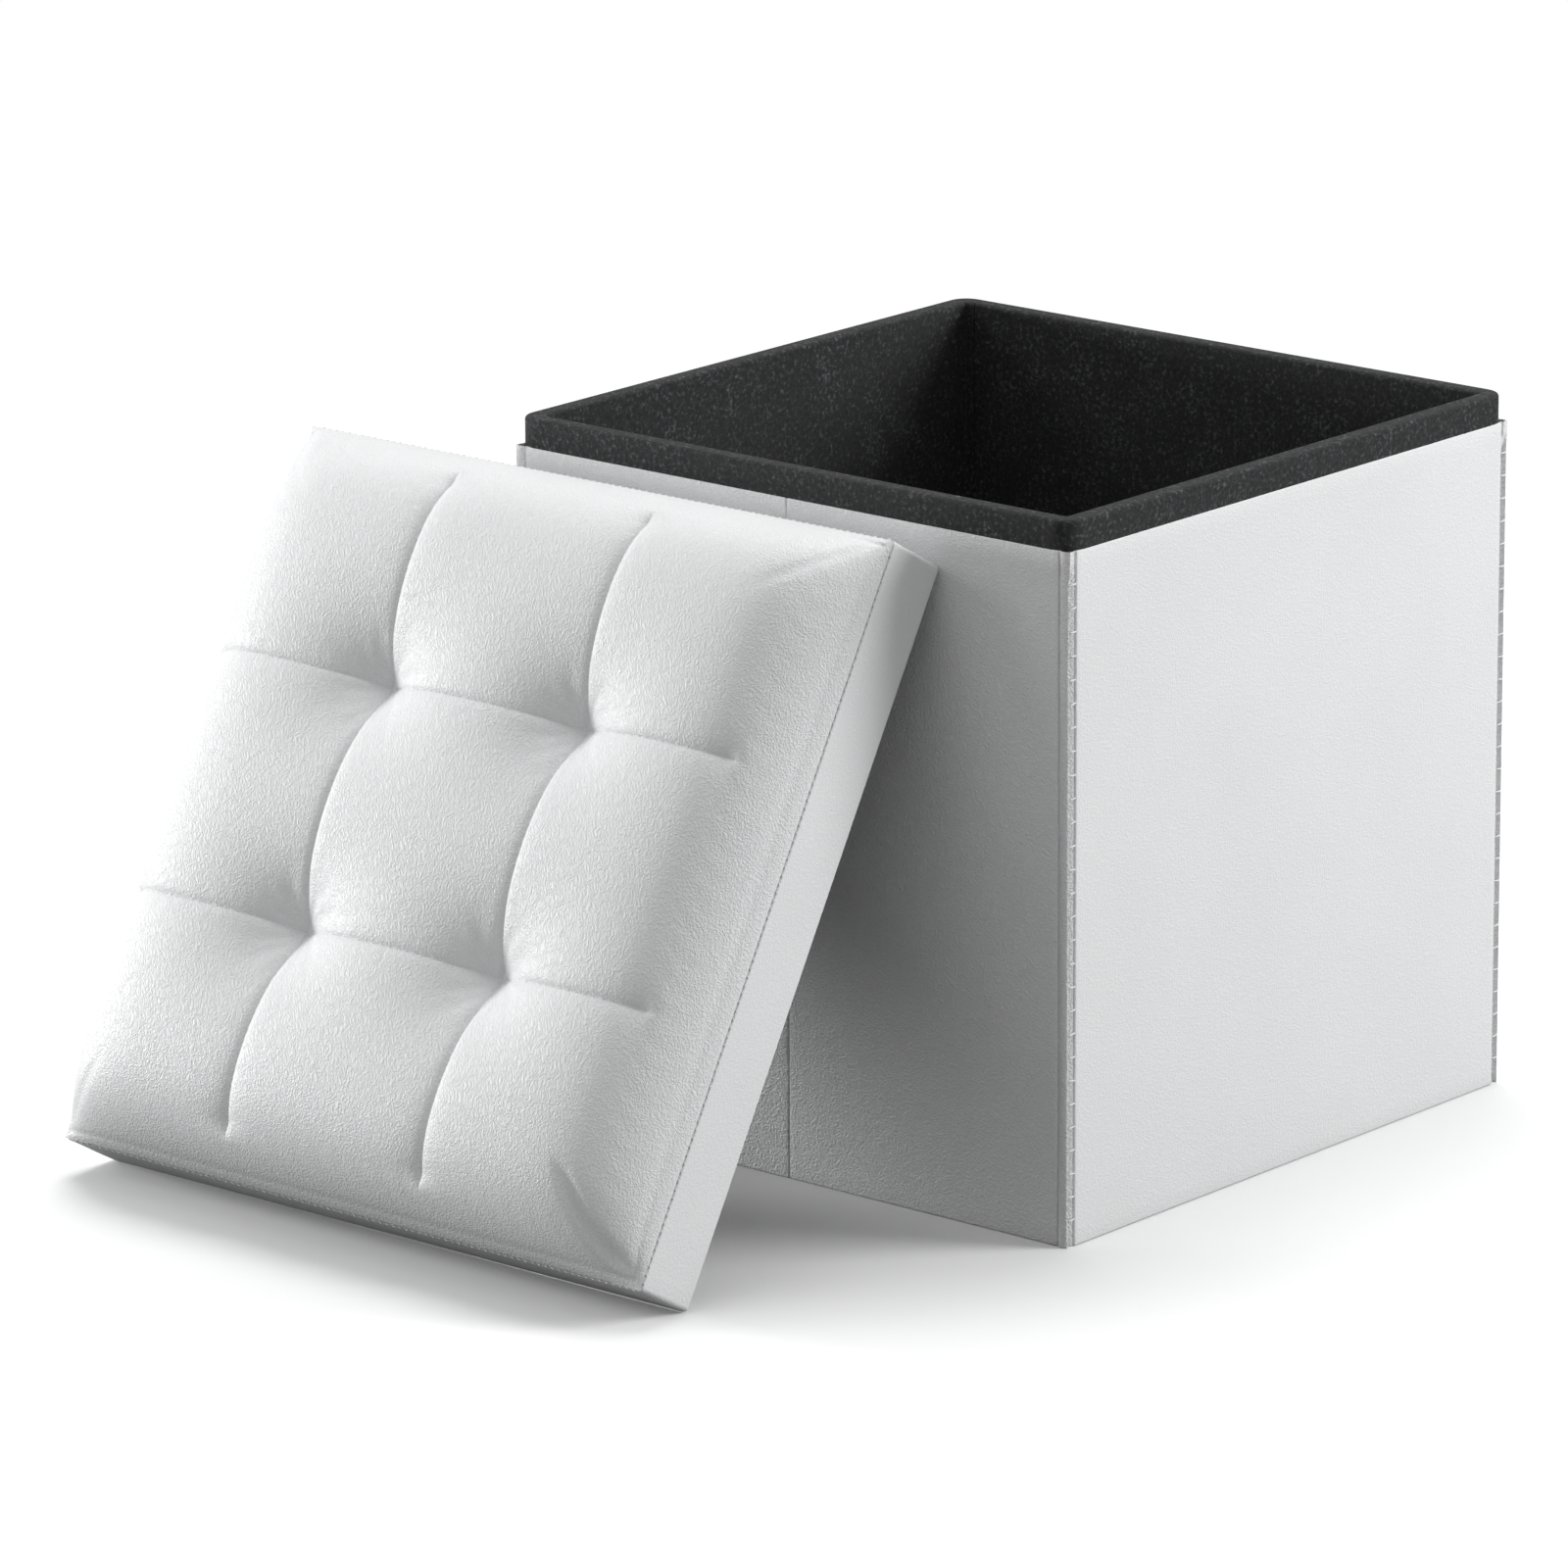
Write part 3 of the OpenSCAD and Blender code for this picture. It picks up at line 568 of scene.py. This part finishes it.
# Half an ellipse on two legs, in shares of the loop's half span and rise. The ribbon is 1 mm thick and
# 3.6 mm wide, and its width lies in the plane of the arch
arch = np.concatenate((((-1, 0),), np.stack((-np.cos(k), 0.32 + 0.66 * np.sin(k)), -1), ((1, 0),)))
flat = np.linspace(-0.0005, 0.0005, 3)
band = np.stack(np.broadcast_arrays(arch[:, :1] * (half_span - 0.002), centre_y + flat[None],
                                    loop_low.z + rise * arch[:, 1:]), -1)
wide = np.gradient(arch * (half_span, rise), axis=0)
wide = np.stack((-wide[:, 1], wide[:, 0]), -1) / np.linalg.norm(wide, axis=1, keepdims=True)
shift = np.stack((wide[:, 0], np.zeros(len(wide)), wide[:, 1]), -1)[:, None]
loop = shell("base_pull_loop_ribbon", band - 0.0018 * shift, band + 0.0018 * shift)
loop.data.materials.append(cloth_paint)
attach(loop, "front_wall")
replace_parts(loop, "base_pull_loop")

# --- Lid cushion ----------------------------------------------------------------------------------
# Soft foam under the same leather, domed 48 mm over the seam round its edge. Two straight seams each
# way run through it and end short of the edge, and twine pulls a deep tuft where two of them cross.
LEAN = np.radians(30.0)
low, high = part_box("lid_border")
HALF_LID, MID_Y = (high.y - low.y) / 2, (high.y + low.y) / 2
LID_AXES = np.array(((np.sin(LEAN), 0, np.cos(LEAN)), (0, 1, 0), (-np.cos(LEAN), 0, np.sin(LEAN))))
SEAM_H, TUFT_AT = 0.041, 0.067
DOME, SHOULDER, PIT = 0.0475, 0.017, 0.026


def on_lid(x, y, h):
    """Places on the lid, in the frame's axes. x runs up its slope and y across, both from its middle, and h
    is the height over its free edge."""
    x, y, h = np.broadcast_arrays(x, y, h)
    return np.stack((x + HALF_LID, y, h), -1) @ LID_AXES + (high.x - 2 * HALF_LID * np.sin(LEAN), MID_Y, 0)


def smooth(v):
    """0 below 0, 1 above 1, and 3v^2 - 2v^3 between."""
    v = np.clip(v, 0, 1)
    return v * v * (3 - 2 * v)


def pad_height(x, y, fine=True):
    """The cushion's height. It rises from the edge seam by 1 - exp(-t/17 mm) of the distance t from each
    edge. A valley exp(-d/10 mm) follows each sewn seam and is deepest near the edge, and each tuft is a
    pit 26 exp(-(r/26)^1.15) mm deep, rounded at its bottom by 3 mm. fine adds the thread lines, the
    gathers beside them, the folds round the tufts, the corner pinches and the edge crease."""
    tx, ty = HALF_LID - np.abs(x), HALF_LID - np.abs(y)
    h = DOME * (1 - np.exp(-tx / SHOULDER)) * (1 - np.exp(-ty / SHOULDER))
    valley, thread_line, gather = np.zeros_like(x), np.zeros_like(x), np.zeros_like(x)
    for along, across, turn in ((x, y, 0.0), (y, x, 1.0)):
        for at in (-TUFT_AT, TUFT_AT):
            off = across - at
            stop = np.where(along > 0, 0.013, 0.016 + 0.003 * turn)
            into = HALF_LID - np.abs(along) - stop
            run = smooth(into / 0.012)
            deep = (0.0019 + 0.0040 * np.exp(-into.clip(0) / 0.02)) * run
            valley = np.maximum(valley, deep * np.exp(-np.abs(off) / 0.010))
            thread_line = np.maximum(thread_line, run * np.exp(-np.abs(off) / 0.0017))
            ripple = np.sin(along * 610 + 3 * np.sin(along * 97 + at * 50) + 2 * turn + np.sign(off))
            gather = gather + run * ripple * np.exp(-((np.abs(off) - 0.006) / 0.006) ** 2)
    pit, fold = np.zeros_like(x), np.zeros_like(x)
    for x0 in (-TUFT_AT, TUFT_AT):
        for y0 in (-TUFT_AT, TUFT_AT):
            r, angle = np.hypot(x - x0, y - y0), np.arctan2(y - y0, x - x0)
            pit = pit + PIT * np.exp(-(np.sqrt(r ** 2 + 0.003 ** 2) / PIT) ** 1.15)
            ray = np.cos(7 * angle + 11 * x0 + 5 * y0)
            ray = ray + 0.7 * np.cos(12 * angle + 60 * y0 - 31 * x0 + 180 * r)
            fold = fold + ray * np.exp(-((r - 0.019) / 0.012) ** 2)
    h = h - valley - pit
    if fine:
        for sx, sy in ((-1, -1), (-1, 1), (1, -1), (1, 1)):
            u, v = HALF_LID - sx * x, HALF_LID - sy * y
            reach = 0.5 * (u + v)
            line = (u - v) / np.sqrt(2) + 0.0015 * np.sin(reach * 120 + sx)
            deep = (0.0055 if (sx, sy) == (-1, -1) else 0.0009) * smooth((reach - 0.004) / 0.012)
            h = h - deep * smooth((0.050 - reach) / 0.022) * np.exp(-(line / 0.0034) ** 2)
        edge = np.minimum(tx, ty)
        h = h - 0.0013 * thread_line + 0.00004 * gather + 0.0002 * fold
        h = h - 0.0010 * np.exp(-((edge - 0.0045) / 0.0012) ** 2)
        drag = np.sin(430 * x + 3 * np.sin(160 * y)) * np.exp(-((ty - 0.016) / 0.010) ** 2)
        drag = drag + np.sin(430 * y + 3 * np.sin(150 * x) + 1) * np.exp(-((tx - 0.016) / 0.010) ** 2)
        h = h + 0.00008 * drag
    return SEAM_H + np.maximum(h, -0.0004)


def swelling(x, y):
    """How far a simulated pad swells over pad_height, sampled at x, y. A closed block of the pad is
    remeshed at 6 mm and blown up as cloth, with its base, 12 mm along the edge and 5 mm on either side
    of the seams pinned. The rise is capped at 3 mm, smoothed by eight passes over a grid, and fades to
    nothing over the last 12 mm to a seam and the last 20 mm to the edge."""
    reach, count = 0.197, 100
    k = np.linspace(-reach, reach, count)
    gx, gy = np.meshgrid(k, k)
    top = np.stack((gx, gy, pad_height(gx, gy, False) - 0.001), -1)
    block = shell("pad_block", top, np.stack((gx, gy, np.full_like(gx, 0.034)), -1))
    bpy.context.view_layer.objects.active = block
    remesh = block.modifiers.new("remesh", "REMESH")
    remesh.mode, remesh.voxel_size = "VOXEL", 0.006
    bpy.ops.object.modifier_apply(modifier="remesh")
    start = np.empty(3 * len(block.data.vertices), np.float32)
    block.data.vertices.foreach_get("co", start)
    start = start.reshape(-1, 3)
    off = np.minimum(np.abs(np.abs(start[:, 0]) - TUFT_AT), np.abs(np.abs(start[:, 1]) - TUFT_AT))
    edge = HALF_LID - np.abs(start[:, :2]).max(1)
    held = np.maximum.reduce((off < 0.005, edge < 0.012, start[:, 2] < 0.042))
    group = block.vertex_groups.new(name="held")
    group.add(np.flatnonzero(held).tolist(), 1.0, "REPLACE")
    cloth = block.modifiers.new("cloth", "CLOTH")
    cloth.settings.use_pressure, cloth.settings.uniform_pressure_force = True, 4.0
    cloth.settings.effector_weights.gravity = 0.0
    cloth.settings.vertex_group_mass = "held"
    cloth.settings.tension_stiffness = cloth.settings.compression_stiffness = 25.0
    for at in range(1, 21):
        bpy.context.scene.frame_set(at)
    blown = block.evaluated_get(bpy.context.evaluated_depsgraph_get())
    end = np.empty_like(start).ravel()
    blown.data.vertices.foreach_get("co", end)
    end = end.reshape(-1, 3)
    bpy.context.scene.frame_set(1)
    rise = np.clip(end[:, 2] - start[:, 2], -0.001, 0.003)
    rise[start[:, 2] < 0.043] = 0
    total, weight = np.zeros((2, count, count))
    last = count - 1
    column, row = (np.clip(np.rint((start[:, i] + reach) / (2 * reach) * last), 0, last).astype(int)
                   for i in (0, 1))
    up = start[:, 2] > 0.043
    np.add.at(total, (row[up], column[up]), rise[up])
    np.add.at(weight, (row[up], column[up]), 1)
    for _ in range(8):
        for grid in (total, weight):
            grid[1:-1, 1:-1] = (2 * grid[1:-1, 1:-1] + grid[:-2, 1:-1] + grid[2:, 1:-1]
                                + grid[1:-1, :-2] + grid[1:-1, 2:]) / 6
    rise = total / np.maximum(weight, 1e-6)
    bpy.data.objects.remove(block, do_unlink=True)
    fx, fy = (np.clip((v + reach) / (2 * reach) * last, 0, last - 0.001) for v in (x, y))
    ix, iy = fx.astype(int), fy.astype(int)
    wx, wy = fx - ix, fy - iy
    found = ((1 - wx) * (1 - wy) * rise[iy, ix] + wx * (1 - wy) * rise[iy, ix + 1]
             + (1 - wx) * wy * rise[iy + 1, ix] + wx * wy * rise[iy + 1, ix + 1])
    off = np.minimum(np.abs(np.abs(x) - TUFT_AT), np.abs(np.abs(y) - TUFT_AT))
    return found * smooth(off / 0.012) * smooth((HALF_LID - np.maximum(np.abs(x), np.abs(y)) - 0.004) / 0.02)


# A grid that is close where the seams and edges are: 0.5 to 0.7 mm there, and up to 1.7 mm between
probe = np.linspace(-HALF_LID + 0.0004, HALF_LID - 0.0004, 4001)
need = 1 + 2.2 * np.exp(-((np.abs(probe) - TUFT_AT) / 0.008) ** 2)
need = need + 1.6 * np.exp(-(HALF_LID - np.abs(probe)) / 0.012)
pace = np.concatenate(((0,), np.cumsum((need[1:] + need[:-1]) / 2)))
line = np.interp(np.linspace(0, pace[-1], 301), pace, probe)
x, y = np.meshgrid(line, line)
height = pad_height(x, y)
height = height + swelling(x, y)
# Round the border four rings turn the leather under the seam and down to the board, and one flat face
# closes the pad there
count = len(line)
grid = np.arange(count * count).reshape(count, count)
rim = np.concatenate((grid[0, :-1], grid[:-1, -1], grid[-1, :0:-1], grid[:0:-1, 0]))
faces = [np.stack((grid[:-1, :-1], grid[:-1, 1:], grid[1:, 1:], grid[1:, :-1]), -1).reshape(-1, 4)]
points = [np.stack((x, y, height), -1).reshape(-1, 3)]
edge_line, ring = points[0][rim], rim
for inward, drop in ((0.0002, 0.0007), (0.0012, 0.0013), (0.0024, 0.0026), (0.0026, 0.0080)):
    lower = edge_line.copy()
    lower[:, :2] *= 1 - inward / HALF_LID
    lower[:, 2] = SEAM_H + 0.0009 - drop
    new = np.arange(len(rim)) + sum(len(p) for p in points)
    points.append(lower)
    faces.append(np.stack((ring, new, np.roll(new, -1), np.roll(ring, -1)), -1))
    ring = new
points = np.concatenate(points)
cushion_leather = white_leather("cushion_leather", grain_and_shade=0.8)
cushion = piece_of("lid_cushion", on_lid(*points.T), np.concatenate(faces), ring[::-1])
cushion.data.materials.append(cushion_leather)
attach(cushion, "lid")
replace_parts(cushion, "lid_cover", "lid_foam")

# --- Thread of the cushion's seams and of the edge seam -------------------------------------------
# White thread: a stitch every 4.5 mm bridges the groove round the edge, and short stitches sink into
# the four sewn lines of the cushion.
run = np.arange(-HALF_LID + 0.0045, HALF_LID - 0.004, 0.0045)
k = np.linspace(-1, 1, 7)
paths = []
for sx, sy in ((1, 0), (-1, 0), (0, 1), (0, -1)):
    along = run[:, None] + 0.0009 * k[None]
    out = HALF_LID - 0.0001 + 0.00008 * np.sin(run * 700)[:, None] - 0.00035 * k[None] ** 2
    out = np.broadcast_to(out, along.shape)
    paths.append(on_lid(sx * out + abs(sy) * along, sy * out + abs(sx) * along,
                        SEAM_H - 0.0004 + 0.0003 * k[None] * np.ones_like(along)))
edge_stitches = tubes("lid_edge_stitches", np.concatenate(paths), 0.00042, 6)
run = np.arange(-0.176, 0.1761, 0.0055)
run = run[(np.abs(np.abs(run) - TUFT_AT) > 0.006)]
paths = []
for at in (-TUFT_AT, TUFT_AT):
    for turn in (False, True):
        along = run[:, None] + 0.0019 * k[None]
        across = np.full_like(along, at)
        px, py = (across, along) if turn else (along, across)
        paths.append(on_lid(px, py, pad_height(px, py) + 0.00015 - 0.0004 * k[None] ** 4))
seam_stitches = tubes("lid_seam_stitches", np.concatenate(paths), 0.00028, 6)
for stitches in (edge_stitches, seam_stitches):
    stitches.data.materials.append(thread.material)
    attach(stitches, "lid")

# --- Lid skirt ------------------------------------------------------------------------------------
# Smooth leather, 1.1 mm thick, glued round the four side boards. Its top edge rolls in under the
# edge seam, and its hem turns under the free edge.


def lid_ring(sections, corner):
    """Grids round the lid from (d, h) profiles: d inside its face and h over its free edge. Rows run
    anticlockwise seen from above the pad, and corner is the radius of the upright corners."""
    c = HALF_LID - corner
    centres, normals = rim_path((-c, -c, 180), (-c, -c, 270), (c, -c, 270), (c, -c, 360), (c, c, 360),
                                (c, c, 450), (-c, c, 450), (-c, c, 540), (-c, -c, 540))
    centres, normals = centres[:-1], normals[:-1]
    grids = []
    for d, h in sections:
        place = inset(centres, normals, corner, d)
        height = np.broadcast_to(np.asarray(h)[None, :, None], (*place.shape[:2], 1))
        grids.append(np.concatenate((place, height), -1))
    return grids


# The profile comes out from under the seam, over the roll, down the face and round the hem
a = np.linspace(0, np.pi / 2, 5)
roll, hem, side_top = 0.0010, 0.0012, SEAM_H - 0.0006
face_h = np.linspace(side_top - roll, hem, 20)[1:-1]
outer_d = np.concatenate(((0.0030, 0.0018), roll - roll * np.sin(a), np.zeros(18),
                          hem - hem * np.cos(a), (0.0022, 0.0042, 0.0062, 0.0080, 0.0091)))
outer_h = np.concatenate(((side_top - 0.0001, side_top), side_top - roll + roll * np.cos(a), face_h,
                          hem - hem * np.sin(a), np.zeros(5)))
inner_d = np.concatenate(((0.0030, 0.0019), np.full(23, LEATHER), np.full(5, LEATHER + 0.00005),
                          (0.0022, 0.0042, 0.0062, 0.0080, 0.0091)))
inner_h = np.concatenate(((side_top - 0.0010, side_top - 0.0010),
                          np.linspace(side_top - 0.0011, face_h[0] + 0.0002, 5), face_h,
                          np.linspace(0.0022, 0.0012, 5), np.full(5, LEATHER)))
outer, inner = lid_ring(((outer_d, outer_h), (inner_d, inner_h)), 0.003)
x, y, h = np.moveaxis(outer, -1, 0)
# The face swells and sinks by up to a quarter of a millimetre, and is true again at its edges
bulge = np.sin(29 * (x + y) + 6) + np.sin(47 * (x - y) + 120 * h)
bulge = bulge * smooth(h / 0.008) * smooth((0.039 - h) / 0.006)
outward = (outer[:, 12:13, :2] - inner[:, 12:13, :2]) / LEATHER
outer[..., :2] += outward * (0.00012 * bulge)[..., None]
skirt_leather = white_leather("skirt_leather", grain_and_shade=0.45)
skirt = shell("lid_skirt", on_lid(*np.moveaxis(outer, -1, 0)), on_lid(*np.moveaxis(inner, -1, 0)), ring=True)
skirt.data.materials.append(skirt_leather)
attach(skirt, "lid")
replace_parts(skirt, "lid_border")

# --- Cloth in the lid's recess --------------------------------------------------------------------
# Black cloth, 0.6 mm thick, lines the recess that takes the box's rim. It lies on the four boards of
# the side, turns on a radius of a millimetre, and hangs in shallow waves from the top board.
RAIL_IN, CLOTH = 0.0096, 0.0006
depth, bend = 0.0242, RAIL_IN + CLOTH + 0.001
a = np.linspace(0, np.pi / 2, 5)
inward = np.linspace(0, 1, 26)[1:] ** 0.8
cloth_d = np.concatenate((np.full(12, RAIL_IN + CLOTH), bend - 0.001 * np.cos(a),
                          bend + (0.198 - bend) * inward))
cloth_h = np.concatenate((np.linspace(0.0004, depth - 0.0012, 12), depth - 0.001 + 0.001 * np.sin(a),
                          np.full(25, depth)))
hidden_d = np.concatenate((np.full(12, RAIL_IN), RAIL_IN + 0.0002 - 0.0002 * np.cos(a), cloth_d[17:]))
hidden_h = np.concatenate((np.linspace(0.0004, depth - 0.0004, 12), depth + CLOTH * np.sin(a),
                           np.full(25, depth + CLOTH)))
visible, hidden = lid_ring(((cloth_d, cloth_h), (hidden_d, hidden_h)), 0.0031)
x, y, h = np.moveaxis(visible, -1, 0)
wave = 1 + np.sin(41 * x + 13 * y) * np.sin(29 * y - 7 * x)
wave = wave * smooth((0.185 - np.maximum(np.abs(x), np.abs(y))) / 0.02)
visible[..., 2] += 0.0002 * wave * (np.arange(len(cloth_d)) > 20)
places = [on_lid(*np.moveaxis(side, -1, 0))[::-1] for side in (hidden, visible)]
lining_piece = shell("lid_recess_cloth", *places, ring=True)
lining_piece.data.materials.append(cloth_paint)
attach(lining_piece, "lid")
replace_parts(lining_piece, "lid_lining")

# --- Staples --------------------------------------------------------------------------------------
# Flat crowns of galvanised wire hold the recess cloth to the top board, six along each side and sunk
# a little into it. They keep the solids of their CAD node.
steel = Paint("staple_wire")
rub = steel.node("ShaderNodeTexNoise", None, Vector=steel.place, Scale=2200.0, Detail=2.0)
steel.set(Base_Color=srgb(0.72, 0.72, 0.73), Metallic=1.0, Roughness=0.28 + 0.25 * rub)
steel.bump(rub, 0.2, 0.0001)
repaint(steel, ["lid_staples"])

# --- Twine, knots and cord of the tufts -----------------------------------------------------------
# Twisted white polyester twine ties each tuft down, through the foam and the board. Under each pair of
# tufts it is knotted round a cord of the same twine, which lies over the board inside the foam.
twine = Paint("tuft_twine")
strands = twine.node("ShaderNodeTexWave", {"bands_direction": "DIAGONAL"}, Vector=twine.place, Scale=190.0,
                     Distortion=1.5, Detail=2.0)
fuzz = twine.node("ShaderNodeTexNoise", None, Vector=twine.place, Scale=1400.0, Detail=3.0)
twine.set(Base_Color=twine.node("ShaderNodeValToRGB", {"stops": [
    (0.2, srgb(0.66, 0.65, 0.62)[:3]), (0.8, srgb(0.84, 0.83, 0.80)[:3])]}, 0.7 * strands + 0.3 * fuzz),
    Roughness=0.7 + 0.2 * fuzz)
twine.bump(strands + 0.4 * fuzz, 0.7, 0.0005)
repaint(twine, ["tuft_ties", "tuft_knots", "tuft_cord", "swing_knot", "swing_cord"])

# --- Studio ---------------------------------------------------------------------------------------
# A pale floor that fades into white, a soft dome, two lamps on the left behind the lid, one of them
# near the floor, a broad one on the right of the plain wall and one overhead.
floor = piece_of("studio_floor", ((-9, -9, 0), (9, -9, 0), (9, 9, 0), (-9, 9, 0)), np.array([[0, 1, 2, 3]]))
floor_paint = Paint("studio_floor")
floor_paint.set(Base_Color=srgb(0.965, 0.966, 0.967), Roughness=0.9, Specular_IOR_Level=0.1)
# The camera sees a floor that fades to white from 0.85 to 2.3 m. All other rays meet a dimmer one, so
# that it throws less light up at the walls
is_camera = floor_paint.node("ShaderNodeLightPath")
reach = floor_paint.node("ShaderNodeVectorMath", {"operation": "LENGTH"}, floor_paint.place, out=1)
fade = floor_paint.node("ShaderNodeMapRange", {"interpolation_type": "SMOOTHSTEP"}, reach, 0.85, 2.3,
                        0.0, 1.0)
white = floor_paint.node("ShaderNodeEmission", None, (1, 1, 1, 1), 1.0)
dim = floor_paint.node("ShaderNodeBsdfDiffuse", None, srgb(0.54, 0.54, 0.54))
pale = Socket(floor_paint, floor_paint.shader.outputs[0])
near = floor_paint.node("ShaderNodeMixShader", None, fade, pale, white)
shown = floor_paint.node("ShaderNodeMixShader", None, is_camera, dim, near)
floor_paint.tree.links.new(shown.link, floor_paint.tree.nodes["Material Output"].inputs["Surface"])
floor.data.materials.append(floor_paint.material)

world = bpy.data.worlds.new("studio_sky")
bpy.context.scene.world = world
sky = Paint("studio_sky", world)
# The dome lights the object at half of the white that the camera sees behind it
dome = sky.node("ShaderNodeBackground", None, (1, 1, 1, 1), 0.48)
backdrop = sky.node("ShaderNodeBackground", None, (1, 1, 1, 1), 1.0)
pick = sky.node("ShaderNodeMixShader", None, sky.node("ShaderNodeLightPath"), dome, backdrop)
sky.tree.links.new(pick.link, sky.tree.nodes["World Output"].inputs["Surface"])

for name, place, target, size, power in (
        ("lamp_left", (-2.5, 2.6, 2.2), (-0.2, 0.1, 0.15), 1.2, 16),
        ("lamp_right", (1.9, -2.9, 1.5), (0.0, -0.1, 0.2), 1.8, 109),
        ("lamp_low", (-1.1, 2.3, 0.4), (-0.25, 0.1, 0.05), 0.5, 43),
        ("lamp_over", (0.5, 0.7, 3.2), (0.0, 0.0, 0.1), 2.0, 57)):
    lamp = bpy.data.lights.new(name, "AREA")
    lamp.shape, lamp.size, lamp.energy = "DISK", size, power
    stand = bpy.data.objects.new(name, lamp)
    aim = (Vector(target) - Vector(place)).to_track_quat("-Z", "Y")
    stand.matrix_world = Matrix.Translation(place) @ aim.to_matrix().to_4x4()
    bpy.context.scene.collection.objects.link(stand)
